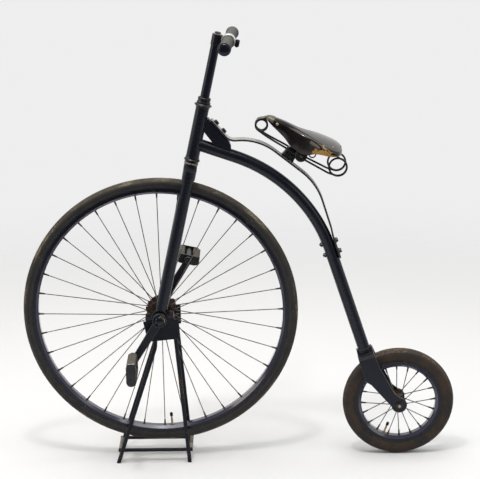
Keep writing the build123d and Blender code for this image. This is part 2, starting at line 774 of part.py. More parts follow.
def saddle_form(inset, skirt):
    """The saddle's body, drawn in by an inset: a crown swept along its ridge, cut to plan and skirt."""
    with BuildPart() as form:
        with BuildLine(saddle_side) as ridge:
            ThreePointArc((-8.0, 1.5 - inset), (70.0, 10.5 - inset), (saddle_length + 2, -4.0 - inset))
        with BuildSketch(Plane(origin=ridge.line @ 0, x_dir=(0, 1, 0), z_dir=ridge.line % 0)):
            with BuildLine():
                crown = ThreePointArc((-100.0, -16.0), (0, 0), (100.0, -16.0))
                Polyline(crown @ 1, (100.0, -150.0), (-100.0, -150.0), crown @ 0)
            make_face()
        sweep(path=ridge.line)
        with BuildSketch(saddle_top.offset(30.0)):
            make_face(saddle_outline(inset))
        extrude(amount=-150.0, mode=Mode.INTERSECT)
        with BuildSketch(saddle_side):
            with BuildLine():
                Polyline(*skirt, (-20.0, 40.0), (saddle_length + 20.0, 40.0), close=True)
            make_face()
        extrude(amount=100.0, both=True, mode=Mode.INTERSECT)
    return form.part


leather_thickness = 4.0
flap_line = [(saddle_length + 20.0, -13.0), (198.0, -13.0), (178.0, -16.0), (156.0, -24.0), (126.0, -38.0),
             (115.0, -58.0), (104.0, -64.5), (94.0, -62.0), (74.0, -43.0), (14.0, -12.5), (5.0, -6.5), (-20.0, -4.0)]
open_line = [(saddle_length + 20.0, -110.0), (-20.0, -110.0)]
with BuildPart() as leather:
    add(saddle_form(0.0, flap_line))
    add(saddle_form(leather_thickness, open_line), mode=Mode.SUBTRACT)
finish(leather, "saddle_leather")

# clamp on the leaf spring: a block with a cross bolt that grips the saddle's wires
leaf_fall = atan2(leaf_points[3][1] - leaf_points[2][1], leaf_points[3][0] - leaf_points[2][0])
clamp_along = 79.5
clamp_height = 13.6
clamp_reach = leaf_thickness / 2 + 0.02 + clamp_height
clamp_bolt = (leaf_points[2][0] + clamp_along * cos(leaf_fall) - clamp_reach * sin(leaf_fall),
              leaf_points[2][1] + clamp_along * sin(leaf_fall) + clamp_reach * cos(leaf_fall))
clamp_half = 17.0
wire_radius = 2.25
turn_spacing = 0.9
wire_gap = 2 * wire_radius + 0.1
wire_offset = clamp_half + wire_radius
with BuildPart() as clamp:
    with BuildSketch(side_plane(*clamp_bolt, 0, degrees(leaf_fall))):
        Circle(11.0)
        with Locations((0, -clamp_height / 2)):
            Rectangle(24.0, clamp_height)
    extrude(amount=clamp_half, both=True)
    for side in sides.values():
        with BuildSketch(side_plane(*clamp_bolt, side * clamp_half)):
            Circle(5.0)
        extrude(amount=-side * wire_gap)
        with BuildSketch(side_plane(*clamp_bolt, side * (clamp_half + wire_gap))):
            Circle(11.0)
        extrude(amount=-side * 4.0)
        with BuildSketch(side_plane(*clamp_bolt, side * (clamp_half + wire_gap + 4.0))):
            RegularPolygon(7.0, 6)
        extrude(amount=-side * 5.0)
finish(clamp, "saddle_clamp")


def wire(points, bend):
    """A round wire along a bent route."""
    with BuildPart() as rod:
        with BuildLine() as route:
            if len(points) > 2:
                FilletPolyline(*points, radius=bend)
            else:
                Line(*points)
        with BuildSketch(Plane(origin=points[0], z_dir=points[1] - points[0])):
            Circle(wire_radius)
        sweep(path=route.line)
    return rod.part


def coil(x, z, y, radius, turns):
    """Close turns of eight-sided wire about a cross axis."""
    with BuildPart() as close_turns:
        for turn in range(turns):
            shift = (turn - (turns - 1) / 2) * 2 * wire_radius * turn_spacing
            with BuildSketch(wheel_plane(at(x, z, y))):
                with Locations((shift, radius)):
                    RegularPolygon(wire_radius, 8)
            revolve(axis=Axis(at(x, z, y), (0, 1, 0)))
    return close_turns.part


# one coil at the nose, whose two ends run back under the hide to either side of the clamp
front_coil = (255.3, 471.5)
front_coil_radius = 14.4
front_coil_turns = 3
front_wire_start = 4.0
with BuildPart() as front_wires:
    add(wire([at(247.3, 459.5, -front_wire_start), at(300.0, 424.3, -wire_offset),
              at(329.0, 405.0, -wire_offset)], 12.0))
    mirror(about=Plane.XZ)
    add(coil(*front_coil, 0, front_coil_radius, front_coil_turns))
finish(front_wires, "saddle_front_springs")

with BuildPart() as nose_plate:
    with BuildSketch(side_plane()):
        with BuildLine():
            Polyline((250.0, 487.5), (253.5, 492.5), (264.0, 496.0), (276.0, 494.5), (270.0, 483.0),
                     (258.0, 484.0), close=True)
        make_face()
    extrude(amount=9.0, both=True)
    add(saddle_form(0.0, open_line), mode=Mode.SUBTRACT)
    add(front_wires.part, mode=Mode.SUBTRACT)
finish(nose_plate, "saddle_nose_plate")

# a coil of two unlike turns stands under each rear corner, and each turn has its own wire
small_turn = (435.9, 381.5)
small_turn_radius = 18.3
large_turn = (437.2, 378.2)
large_turn_radius = 22.7
small_turn_offset = 50.0
large_turn_offset = 54.8
cantle_depth = 13.0
with BuildPart() as rear_wires:
    add(coil(*small_turn, -small_turn_offset, small_turn_radius, 1))
    add(wire([at(308.0, 392.4, -wire_offset), at(350.0, 391.4, -wire_offset),
              at(396.0, 375.4, -small_turn_offset), at(430.2, 364.1, -small_turn_offset)], 12.0))
    add(wire([at(434.0, 400.0, -small_turn_offset), at(434.0, 415.0, -small_turn_offset)], 0))
    add(coil(*large_turn, -large_turn_offset, large_turn_radius, 1))
    add(wire([at(314.0, 387.4, -wire_offset), at(352.0, 386.0, -wire_offset),
              at(392.0, 372.0, -large_turn_offset), at(426.0, 357.9, -large_turn_offset)], 12.0))
    with BuildSketch(saddle_top.offset(-cantle_depth)):
        with Locations((saddle_length / 2, 0)):
            Rectangle(2 * saddle_length, 2 * saddle_length)
    extrude(amount=60.0, mode=Mode.SUBTRACT)
    mirror(about=Plane.XZ)
finish(rear_wires, "saddle_rear_springs")

with BuildPart() as cantle:
    with BuildSketch(saddle_top.offset(-cantle_depth)):
        make_face(saddle_outline(leather_thickness + 0.2))
        with Locations((62.0, 0)):
            Rectangle(210.0, 200.0, mode=Mode.SUBTRACT)
    extrude(amount=2.5)
finish(cantle, "saddle_cantle_plate")
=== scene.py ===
# %% [markdown]
# # A penny farthing on its display stand
# The tubes, wheels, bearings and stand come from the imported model, already in place. This file
# gives every surface its finish, and rebuilds what a plain solid can't show: the tread, the
# spokes' nipples, the leather saddle, the grips and the pedals. Everything is in metres. X runs
# from the front wheel to the rear one, Y to the rider's right, Z up from the floor.

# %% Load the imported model
import json
from math import atan2, cos, pi, radians, sin, sqrt, tau

import bmesh
import bpy
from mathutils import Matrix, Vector
from mathutils.bvhtree import BVHTree


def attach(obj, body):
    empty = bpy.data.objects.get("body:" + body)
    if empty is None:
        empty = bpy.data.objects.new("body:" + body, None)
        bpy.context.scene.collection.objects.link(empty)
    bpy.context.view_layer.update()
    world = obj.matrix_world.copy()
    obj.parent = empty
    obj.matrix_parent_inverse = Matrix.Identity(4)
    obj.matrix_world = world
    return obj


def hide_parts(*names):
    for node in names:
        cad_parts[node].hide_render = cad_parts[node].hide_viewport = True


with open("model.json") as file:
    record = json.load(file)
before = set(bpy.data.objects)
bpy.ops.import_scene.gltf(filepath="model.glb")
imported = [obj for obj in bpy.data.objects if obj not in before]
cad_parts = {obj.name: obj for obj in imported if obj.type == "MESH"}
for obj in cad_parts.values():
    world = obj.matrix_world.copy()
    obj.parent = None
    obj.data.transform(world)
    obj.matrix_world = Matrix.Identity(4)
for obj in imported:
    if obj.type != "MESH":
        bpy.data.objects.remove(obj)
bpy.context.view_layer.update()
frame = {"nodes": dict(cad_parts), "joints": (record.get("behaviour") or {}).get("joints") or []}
nodes = frame["nodes"]
scene = bpy.context.scene

# %% [markdown]
# Every added piece is measured from a joint of the model, so it lands where the solids are.
# The pieces are drawn in millimetres about the front axle, and `at` turns such a drawing point
# into a place in the scene.

# %% Places taken from the joints
joints = {joint["name"]: joint for joint in frame["joints"]}
front_axle = Vector(joints["front_wheel_spin"]["pos_m"])
rear_axle = Vector(joints["rear_wheel_spin"]["pos_m"])
steering_axis = Vector(joints["steering"]["axis"]).normalized()
across = Vector((0, 1, 0))
sides = {"left": -1, "right": 1}
mm = 0.001


def at(x, z, y=0):
    """A point in millimetres from the front axle: rearward, up and to the rider's right."""
    return front_axle + Vector((x, y, z)) * mm


def outward_at(angle):
    """The way out from an axle, at an angle from the top that grows towards the rear."""
    return Vector((sin(angle), 0, cos(angle)))


def sloped(degrees):
    """The way along a slope, and the way square up from it, seen from the left."""
    angle = radians(degrees)
    return Vector((cos(angle), 0, sin(angle))), Vector((-sin(angle), 0, cos(angle)))


def settle(name, shape):
    """The mesh of a finished bmesh."""
    mesh = bpy.data.meshes.new(name)
    shape.to_mesh(mesh)
    shape.free()
    return mesh


def put_in_scene(name, data):
    """A new object of the scene."""
    made = bpy.data.objects.new(name, data)
    scene.collection.objects.link(made)
    return made


print("axles", front_axle[:], rear_axle[:])

# %% [markdown]
# ## Camera, light and floor
# A bicycle catalogue shows its subject from the side with a long lens, a little from above.
# The world gives the even light of a white room, dimmer on the near side, and the camera sees
# it as a pale wall. Three broad lamps add soft glints along the tubes, and a small one a sharp
# glint.

# %% Camera
camera_dip = 16.095      # degrees that the camera looks down
camera_roll = 0.76       # degrees about its line of sight
camera_data = bpy.data.cameras.new("side_view_camera")
camera_data.sensor_width = 36
camera_data.lens = 121.44
camera = put_in_scene("side_view_camera", camera_data)
camera.location = (0.0182, -3.8302, 1.6741)
camera.rotation_euler = (radians(90 - camera_dip), radians(camera_roll), 0)
scene.camera = camera
scene.view_settings.view_transform = "Standard"
print("camera lens", camera_data.lens, "mm")


# %% Helpers that place and join shader nodes
def feed(tree, socket, value):
    """Join another node's output to a socket, or set the socket to a plain value."""
    if isinstance(value, bpy.types.NodeSocket):
        tree.links.new(value, socket)
    else:
        socket.default_value = value


def add_node(tree, kind, *values, **words):
    """A shader node. Small words are settings, capital ones name sockets, and values fill
    sockets in order."""
    made = tree.nodes.new("ShaderNode" + kind)
    for word, value in words.items():
        if word.islower():
            setattr(made, word, value)
    for number, value in enumerate(values):
        feed(tree, made.inputs[number], value)
    for word, value in words.items():
        if not word.islower():
            feed(tree, made.inputs[word.replace("_", " ")], value)
    return made


def worked_out(tree, operation, *values, **words):
    """The result of a sum on one or two values."""
    return add_node(tree, "Math", *values, operation=operation, **words).outputs[0]


def stretched(tree, value, low, high, **words):
    """A value stretched so that `low` becomes 0 and `high` becomes 1, or as the words say."""
    return add_node(tree, "MapRange", value, low, high, **words).outputs[0]


def noise(tree, scale, detail, roughness=0.5):
    """A noise that is fixed to the object."""
    place = add_node(tree, "TexCoord").outputs["Object"]
    return add_node(tree, "TexNoise", Vector=place, Scale=scale, Detail=detail,
        Roughness=roughness).outputs[0]


def facing(tree, letter):
    """How squarely a surface faces along the object's X, Y or Z, from -1 to 1."""
    normal = add_node(tree, "TexCoord").outputs["Normal"]
    return add_node(tree, "SeparateXYZ", normal).outputs[letter]


# %% The studio wall, in the world shader
wall_colour = (0.858, 0.858, 0.862, 1)
room_colour = (1, 0.995, 0.985, 1)
room_strength = 0.75
room_strength_near = 0.08
near_end, far_end = -0.75, 0.1      # between these headings the room goes from dim to full
world = bpy.data.worlds.new("white_room")
scene.world = world
world.use_nodes = True
tree = world.node_tree
tree.nodes.clear()
way = add_node(tree, "TexCoord").outputs["Generated"]
heading = add_node(tree, "SeparateXYZ", way).outputs["Y"]
dimmed = stretched(tree, heading, near_end, far_end, To_Min=room_strength_near,
    To_Max=room_strength)
room = add_node(tree, "Background", Color=room_colour, Strength=dimmed)
wall = add_node(tree, "Background", Color=wall_colour, Strength=1)
paths = add_node(tree, "LightPath").outputs
seen = worked_out(tree, "MAXIMUM", paths["Is Camera Ray"], paths["Is Transmission Ray"])
pick = add_node(tree, "MixShader", seen, room.outputs[0], wall.outputs[0])
add_node(tree, "OutputWorld", pick.outputs[0])
print("world", world.name)

# %% Area lamps, each aimed at the middle of the bicycle
white = (1, 1, 1)
warm = (1, 0.88, 0.77)
lamp_table = [
    # name, place (m), size (m), power (W), colour
    ("overhead_softbox", (0, -0.3, 3.2), 2.2, 58, white),
    ("left_softbox", (-2.6, -0.6, 1.6), 1.2, 16, warm),
    ("right_softbox", (2.6, -0.8, 1.8), 1.8, 14, white),
    ("glint_lamp", (-0.3, -0.9, 3), 0.22, 14, white),
]
aim = Vector((0, 0, 0.5))
for name, place, size, power, colour in lamp_table:
    lamp_data = bpy.data.lights.new(name, "AREA")
    lamp_data.shape = "SQUARE"
    lamp_data.size = size
    lamp_data.energy = power
    lamp_data.color = colour
    lamp = put_in_scene(name, lamp_data)
    lamp.location = place
    lamp.rotation_euler = (aim - Vector(place)).to_track_quat("-Z", "Y").to_euler()
    print(name, power, "W")

# %% [markdown]
# The floor is a wide disc. It turns clear towards the rim, so that it melts into the wall as a
# paper sweep does, while the middle takes the bicycle's shadow.

# %% Floor
floor_radius = 9
clear_from = 0.75
clear_at = 2.8
shape = bmesh.new()
bmesh.ops.create_circle(shape, cap_ends=True, segments=96, radius=floor_radius)
floor = put_in_scene("paper_floor", settle("paper_floor", shape))
paper = bpy.data.materials.new("paper")
paper.use_nodes = True
tree = paper.node_tree
tree.nodes.clear()
spot = add_node(tree, "TexCoord").outputs["Object"]
reach = add_node(tree, "VectorMath", spot, operation="LENGTH").outputs["Value"]
fade = stretched(tree, reach, clear_from, clear_at, interpolation_type="SMOOTHERSTEP")
sheet = add_node(tree, "BsdfDiffuse", Color=(0.82, 0.82, 0.82, 1))
clear = add_node(tree, "BsdfTransparent")
blend = add_node(tree, "MixShader", fade, sheet.outputs[0], clear.outputs[0])
add_node(tree, "OutputMaterial", blend.outputs[0])
floor.data.materials.append(paper)
print("floor radius", floor_radius, "m")

# %% [markdown]
# ## Effects shared by the finishes
# Old enamel, rusty steel and dusty rubber differ in colour, but wear in the same few ways.
# Each way is one node group: cloudy mottling, paint worn off at the edges, small chips, and
# dust that settles on what faces up. A group gives a mask from 0 to 1, and each material
# decides what the mask uncovers.


# %% A helper that opens a new node group with named sockets
def open_group(name, inputs, outputs):
    """A shader group, with the sockets that bring its inputs and take its results."""
    group = bpy.data.node_groups.new(name, "ShaderNodeTree")
    for label, default in inputs.items():
        socket = group.interface.new_socket(label, in_out="INPUT", socket_type="NodeSocketFloat")
        socket.default_value = default
    for label in outputs:
        group.interface.new_socket(label, in_out="OUTPUT", socket_type="NodeSocketFloat")
    print("group", name, "gives", *outputs)
    given = group.nodes.new("NodeGroupInput").outputs
    return group, given, group.nodes.new("NodeGroupOutput").inputs


# %% Mottling: two sizes of cloud, the larger stretched to full contrast
grain_fineness = 9
mottling, given, result = open_group("mottling", {"Scale": 30, "Low": 0.38, "High": 0.62},
    ["Cloud", "Grain"])
cloud = noise(mottling, given["Scale"], 6, 0.62)
finer = worked_out(mottling, "MULTIPLY", given["Scale"], grain_fineness)
feed(mottling, result["Cloud"], stretched(mottling, cloud, given["Low"], given["High"]))
feed(mottling, result["Grain"], noise(mottling, finer, 3, 0.7))

# %% Edge wear: where a rounded normal parts from the true one, broken up by noise
edge_gain = 9
bare_from, bare_at = 0.34, 0.5
edge_wear, given, result = open_group("edge wear", {"Width": 0.0008, "Reach": 0.5,
    "Scale": 120}, ["Mask"])
rounded = add_node(edge_wear, "Bevel", samples=4, Radius=given["Width"]).outputs[0]
true_normal = add_node(edge_wear, "NewGeometry").outputs["Normal"]
agree = add_node(edge_wear, "VectorMath", rounded, true_normal,
    operation="DOT_PRODUCT").outputs["Value"]
bend = worked_out(edge_wear, "SUBTRACT", 1, agree)
sharpness = worked_out(edge_wear, "MULTIPLY", bend, edge_gain)
patches = worked_out(edge_wear, "MULTIPLY", given["Reach"],
    noise(edge_wear, given["Scale"], 4, 0.6))
worn = worked_out(edge_wear, "MULTIPLY", sharpness, patches)
feed(edge_wear, result["Mask"], stretched(edge_wear, worn, bare_from, bare_at))

# %% Chips: the peaks of a fine noise, only where a broad noise lets them
chip_height, chip_share, chip_border, broad_scale = 0.62, 0.5, 0.02, 14
chips, given, result = open_group("chips", {"Scale": 260, "Amount": 0.35}, ["Mask"])
both = worked_out(chips, "MULTIPLY", noise(chips, given["Scale"], 2), noise(chips, broad_scale, 2))
lowered = worked_out(chips, "MULTIPLY", given["Amount"], chip_share)
limit = worked_out(chips, "SUBTRACT", chip_height, lowered)
top = worked_out(chips, "ADD", limit, chip_border)
feed(chips, result["Mask"], stretched(chips, both, limit, top))

# %% Settled dust: what faces up, in patches
dust, given, result = open_group("settled dust", {"Amount": 0.5, "Scale": 60}, ["Mask"])
upward = stretched(dust, facing(dust, "Z"), -0.1, 1)
layer = worked_out(dust, "MULTIPLY", upward, noise(dust, given["Scale"], 5, 0.65))
feed(dust, result["Mask"], worked_out(dust, "MULTIPLY", layer, given["Amount"], use_clamp=True))

# %% [markdown]
# ## The finishes
# Every material is a Principled shader with a base colour that is covered by one layer after
# another, a roughness that follows the mottling, and a faint bump. A layer is a mask, its
# colour and its roughness.

# %% Helpers that make a finish
glint_colour = (0.86, 0.92, 1, 1)
coat_roughness = 0.12
relief_depth = 0.0006


def blended(tree, mask, under, over, kind="RGBA"):
    """One value or colour over another, where the mask is white."""
    return add_node(tree, "Mix", data_type=kind, Factor=mask, A=under, B=over).outputs["Result"]


def where(group, **values):
    """A layer's mask: one of the shared effects, with its own values."""
    return lambda tree: add_node(tree, "Group", node_tree=group, **values).outputs["Mask"]


def off_side(start, full):
    """A layer's mask: black on what faces across the machine, white on the rest."""
    return lambda tree: stretched(tree, worked_out(tree, "ABSOLUTE", facing(tree, "Y")),
        start, full)


def finish(name, colour, second, roughness, *layers, metallic=0, scale=30, bump=0.15,
        gloss=0.5, coat=0, tint=glint_colour, relief=None):
    """A material mottled between two colours, with its layers laid over it."""
    material = bpy.data.materials.new(name)
    material.use_nodes = True
    tree = material.node_tree
    clouds = add_node(tree, "Group", node_tree=mottling, Scale=scale).outputs
    base = blended(tree, clouds["Cloud"], (*colour, 1), (*second, 1))
    rough = stretched(tree, clouds["Grain"], 0, 1, To_Min=roughness[0], To_Max=roughness[1])
    for mask_maker, layer_colour, layer_roughness in layers:
        mask = mask_maker(tree)
        base = blended(tree, mask, base, (*layer_colour, 1))
        if layer_roughness is not None:
            rough = blended(tree, mask, rough, layer_roughness, "FLOAT")
    height = relief(tree, clouds["Grain"]) if relief else clouds["Grain"]
    bumped = add_node(tree, "Bump", Strength=bump, Distance=relief_depth, Height=height)
    shader_table = {"Base Color": base, "Roughness": rough, "Normal": bumped.outputs[0],
        "Metallic": metallic, "Specular IOR Level": gloss, "Specular Tint": tint,
        "Coat Weight": coat(tree) if callable(coat) else coat, "Coat Roughness": coat_roughness}
    for label, value in shader_table.items():
        feed(tree, tree.nodes["Principled BSDF"].inputs[label], value)
    print("finish", name, "with", len(layers), "layers")
    return material


# %% [markdown]
# The frame's enamel is a blue-black gloss gone satin with age. Bare and browned steel shows
# at the edges and in small chips, grey dust lies on the upper sides, and on the rear fork the
# pale edges are partly painted highlight lines. The rims' sloping faces get a lighter violet,
# a painted reflection of their gloss, under a clear coat.

# %% Enamels
blue_black = (0.0045, 0.006, 0.0115)
soft_black = (0.0075, 0.0088, 0.015)
browned_steel = (0.105, 0.058, 0.032)
# pale steel at worn edges, which on the rear fork also paints its highlight lines
rubbed_steel_and_glint = (0.16, 0.14, 0.115)
grey_dust = (0.19, 0.185, 0.17)
# painted reflection: a lighter violet laid on the rims' sloping and inner faces, for the light
# their gloss reflects
violet_painted_sheen = (0.042, 0.038, 0.066)
rim_slope = off_side(0.95, 0.75)


def enamel(name, edge_reach, chip_amount, dust_amount, roughness, *layers, edge_width=0.0008,
        **words):
    """The frame's enamel in one of its states of wear, whose pale edges on the rear fork are
    partly a painted highlight.
    """
    return finish(name, blue_black, soft_black, roughness,
        (where(dust, Amount=dust_amount, Scale=45), grey_dust, 0.7),
        (where(edge_wear, Reach=edge_reach, Width=edge_width), rubbed_steel_and_glint, 0.5),
        (where(chips, Amount=chip_amount), browned_steel, 0.75),
        *layers, scale=22, bump=0.05, **words)


frame_enamel = enamel("frame enamel", 0.9, 0.3, 0.05, (0.2, 0.34), gloss=0.34)
# wide pale edges: wear on the cranks, and painted highlight lines along the rear fork's crown and
# blades
crank_wear_and_edge_glint = enamel("crank enamel", 2.6, 0.36, 0.12, (0.3, 0.46), gloss=0.3, edge_width=0.0018)
stand_enamel = enamel("stand enamel", 0.9, 0.5, 0.1, (0.42, 0.6), gloss=0.22)
# the rims: a painted reflection in lighter violet on their sloping faces, under a clear coat
rim_enamel = enamel("rim enamel", 0.6, 0.34, 0, (0.1, 0.2), (rim_slope, violet_painted_sheen, None),
    gloss=0.3, coat=rim_slope)
stand_rust = finish("worn stand steel", (0.075, 0.055, 0.04), (0.022, 0.018, 0.016), (0.5, 0.75),
    (where(edge_wear, Reach=1.6, Width=0.002), (0.4, 0.34, 0.27), 0.6),
    (where(dust, Amount=1.4, Scale=40), (0.42, 0.36, 0.29), 0.8),
    scale=34, bump=0.3)

# %% [markdown]
# Steel appears in several states: thin grey spokes, blackened bolts and headset parts, a
# rusted hub, dark japanned saddle wires, and a leaf spring whose upper face is painted pale,
# a painted sheen for the light its glossy top reflects.

# %% Steels
spoke_steel = finish("spoke steel", (0.2, 0.185, 0.17), (0.09, 0.072, 0.06), (0.5, 0.75),
    metallic=0.3, scale=60, gloss=0.3)
dark_steel = finish("blackened steel", (0.006, 0.006, 0.008), (0.018, 0.015, 0.013), (0.2, 0.38),
    (where(edge_wear, Reach=0.55, Width=0.0005), (0.13, 0.115, 0.1), 0.35),
    scale=70, gloss=0.4)
nipple_steel = finish("nipple steel", (0.035, 0.022, 0.02), (0.06, 0.035, 0.03), (0.4, 0.6),
    metallic=0.4, scale=200)
rusted = finish("rusted steel", (0.052, 0.026, 0.013), (0.016, 0.01, 0.008), (0.7, 0.95),
    (where(chips, Scale=320, Amount=0.6), (0.17, 0.1, 0.052), 0.9),
    scale=70, bump=0.6)
wire_steel = finish("saddle wire steel", (0.01, 0.007, 0.011), (0.03, 0.022, 0.026),
    (0.22, 0.4), metallic=0.2, scale=80, gloss=0.35)


# %% The leaf spring: a painted sheen makes its upper face pale; its edges stay dark
def upper_face_painted_sheen(tree):
    """White on what faces up and not across: the mask of the painted sheen."""
    return worked_out(tree, "MULTIPLY", off_side(0.7, 0.3)(tree),
        stretched(tree, facing(tree, "Z"), 0, 0.25))


leaf_steel = finish("leaf spring steel", (0.018, 0.017, 0.02), (0.035, 0.03, 0.03), (0.35, 0.5),
    # painted sheen: pale grey on the upper face, for the light reflected there
    (upper_face_painted_sheen, (0.4, 0.385, 0.36), 0.42),
    (where(chips, Scale=180, Amount=0.55), (0.16, 0.1, 0.06), 0.7),
    scale=60)

# %% [markdown]
# The rubber is old. The front tyre is charcoal on its walls and olive brown where the tread
# holds dirt. The rear one has gone brown all over. Grips and pedal blocks are grey with dust.

# %% Rubbers
wall_rubber = finish("tyre wall rubber", (0.03, 0.028, 0.029), (0.043, 0.039, 0.037), (0.55, 0.75),
    (where(chips, Scale=200, Amount=0.36), (0.13, 0.115, 0.09), 0.9),
    scale=35, bump=0.3, gloss=0.22)
tread_rubber = finish("tread rubber", (0.052, 0.042, 0.029), (0.028, 0.025, 0.022), (0.75, 0.95),
    (where(dust, Amount=0.45, Scale=150), (0.2, 0.175, 0.125), 0.95),
    (where(chips, Scale=420, Amount=0.57), (0.26, 0.215, 0.145), 0.95),
    scale=90, bump=0.6, gloss=0.25)
brown_rubber = finish("rear tyre rubber", (0.066, 0.042, 0.028), (0.028, 0.026, 0.025),
    (0.65, 0.9),
    (where(dust, Amount=0.6, Scale=30), (0.2, 0.165, 0.125), 0.95),
    (where(chips, Scale=150, Amount=0.55), (0.17, 0.12, 0.08), 0.95),
    scale=26, bump=0.4, gloss=0.25)
rear_wall_rubber = finish("rear wall rubber", (0.056, 0.036, 0.024), (0.026, 0.024, 0.023),
    (0.6, 0.85),
    (where(dust, Amount=0.3, Scale=30), (0.15, 0.115, 0.085), 0.95),
    scale=26, bump=0.4, gloss=0.25)
grip_rubber = finish("grip rubber", (0.022, 0.022, 0.023), (0.04, 0.04, 0.037), (0.5, 0.7),
    (where(dust, Amount=0.9, Scale=150), (0.21, 0.21, 0.185), 0.85),
    scale=90, bump=0.3, gloss=0.3)
pedal_rubber = finish("pedal rubber", (0.034, 0.031, 0.028), (0.016, 0.016, 0.017), (0.6, 0.8),
    (where(dust, Amount=0.85, Scale=90), (0.27, 0.245, 0.19), 0.95),
    scale=60, bump=0.4, gloss=0.25)
plug_plastic = finish("grip end plastic", (0.004, 0.006, 0.013), (0.009, 0.011, 0.018),
    (0.12, 0.24), scale=120, bump=0.03, gloss=0.3)

# %% Bright, brassy and coppery metals
brass = finish("dull brass", (0.46, 0.36, 0.2), (0.26, 0.19, 0.11), (0.3, 0.5),
    metallic=0.55, scale=150)
# bright steel for the clamp's band, and for the painted highlight wires on the pedals
bright_steel_and_glint = finish("polished clamp steel", (0.74, 0.73, 0.69), (0.62, 0.6, 0.56),
    (0.25, 0.4), metallic=0.7, scale=120)
tan_washer = finish("tan washer", (0.4, 0.32, 0.265), (0.2, 0.15, 0.12), (0.45, 0.7),
    metallic=0.3, scale=180)
copper = finish("copper rivet", (0.42, 0.3, 0.17), (0.24, 0.16, 0.09), (0.35, 0.55),
    metallic=0.6, scale=180)
copper_worn = finish("worn copper plating", (0.2, 0.12, 0.065), (0.03, 0.025, 0.022),
    (0.3, 0.55), metallic=0.4, scale=120)
nose_metal = finish("nose cap metal", (0.16, 0.14, 0.095), (0.075, 0.065, 0.048), (0.3, 0.5),
    metallic=0.35, scale=60)

# %% [markdown]
# The hide is black harness leather, polished by use on the crown and rubbed to its
# orange-brown grain along the skirt's lower edge. The mesh carries a value called "worn" at
# every point, and a noise breaks its border.


# %% Leather
pore_fineness, pore_share = 620, 0.35
worn_from, worn_at = 0.86, 1


def with_pores(tree, grain):
    """The leather's relief: fine pores pressed into its grain."""
    place = add_node(tree, "TexCoord").outputs["Object"]
    pores = add_node(tree, "TexVoronoi", Vector=place, Scale=pore_fineness)
    return blended(tree, pore_share, grain, pores.outputs["Distance"], "FLOAT")


def rubbed_through(tree):
    """White where the mesh's worn value and a noise add up to enough."""
    worn_value = add_node(tree, "Attribute", attribute_name="worn").outputs["Fac"]
    worn_sum = worked_out(tree, "ADD", worn_value, noise(tree, 60, 5, 0.65))
    return stretched(tree, worn_sum, worn_from, worn_at)


leather = finish("saddle leather", (0.005, 0.0048, 0.0055), (0.015, 0.0105, 0.0125),
    (0.08, 0.18), (rubbed_through, (0.36, 0.2, 0.055), 0.5), scale=18, bump=0.04,
    gloss=0.28, coat=0.15, tint=(1, 0.92, 0.8, 1), relief=with_pores)

# %% [markdown]
# ## Making shapes in mesh code
# Nearly every part of a bicycle was made on a lathe, bent from wire or punched from sheet.
# `turned` spins a profile about an axis, as a lathe would. `drawn` pulls a round section along
# a route, as wire is drawn. `add_piece` makes an object that rides on a body of the model.


# %% Helpers that turn a shape into a piece
def hang(piece, body, slot, *stands_for):
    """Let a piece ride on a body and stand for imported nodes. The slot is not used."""
    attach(piece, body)
    if stands_for:
        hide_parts(*stands_for)
    print(piece.name, len(piece.data.polygons), "faces")


def add_piece(name, shape, materials, body, slot, *stands_for, sharp=35):
    """Close the bmesh, shade it and hang it on a body."""
    bmesh.ops.recalc_face_normals(shape, faces=shape.faces)
    mesh = settle(name, shape)
    mesh.shade_smooth()
    mesh.set_sharp_from_angle(angle=radians(sharp))
    for material in materials:
        mesh.materials.append(material)
    hang(put_in_scene(name, mesh), body, slot, *stands_for)


# %% Helpers that join points, work like a lathe, and draw wire
def skin(shape, rows, material=0, closed=True, ends=True, around=False):
    """Faces between rows of places. A closed row is a ring, `ends` caps the first and last, and
    `around` joins them. The material is one number, or one for each strip along the rows."""
    rows = [[shape.verts.new(place) for place in row] for row in rows]
    for row, following in zip(rows, rows[1:] + (rows[:1] if around else [])):
        count = max(len(row), len(following)) if closed else min(len(row), len(following)) - 1
        for k in range(count):
            corners = [row[k % len(row)], row[(k + 1) % len(row)],
                following[(k + 1) % len(following)], following[k % len(following)]]
            face = shape.faces.new(list(dict.fromkeys(corners)))
            face.material_index = material[k] if isinstance(material, list) else material
    for row in (rows[0], rows[-1]) if ends else ():
        if len(row) > 1:
            shape.faces.new(row).material_index = material
    return rows


def turned(shape, start, axis, profile, segments=48, material=0, turn=0):
    """Spin a profile of (along, radius) in mm about an axis. A radius of 0 closes the end."""
    axis = axis.normalized()
    upright = Vector((0, 0, 1)) - axis * axis.z
    first = (upright if abs(axis.y) > 0.9 else axis.orthogonal()).normalized()
    second = axis.cross(first)
    rings = []
    for along, radius in profile:
        angles = [turn + tau * number / segments for number in range(segments if radius else 1)]
        rings.append([start + axis * along * mm
            + (first * cos(angle) + second * sin(angle)) * radius * mm for angle in angles])
    skin(shape, rings, material)


def shifted(profile, distance):
    """A profile moved along its axis."""
    return [(along + distance, radius) for along, radius in profile]


def drawn(shape, route, radius, corners=12, material=0):
    """Pull a round section along points already in metres. The section doesn't twist."""
    rings = []
    for number, point in enumerate(route):
        way = (route[min(number + 1, len(route) - 1)] - route[max(number - 1, 0)]).normalized()
        side = side if rings else way.orthogonal().normalized()
        side = (side - way * side.dot(way)).normalized()
        angles = [tau * k / corners for k in range(corners)]
        rings.append([point + (side * cos(angle) + way.cross(side) * sin(angle)) * radius * mm
            for angle in angles])
    skin(shape, rings, material)


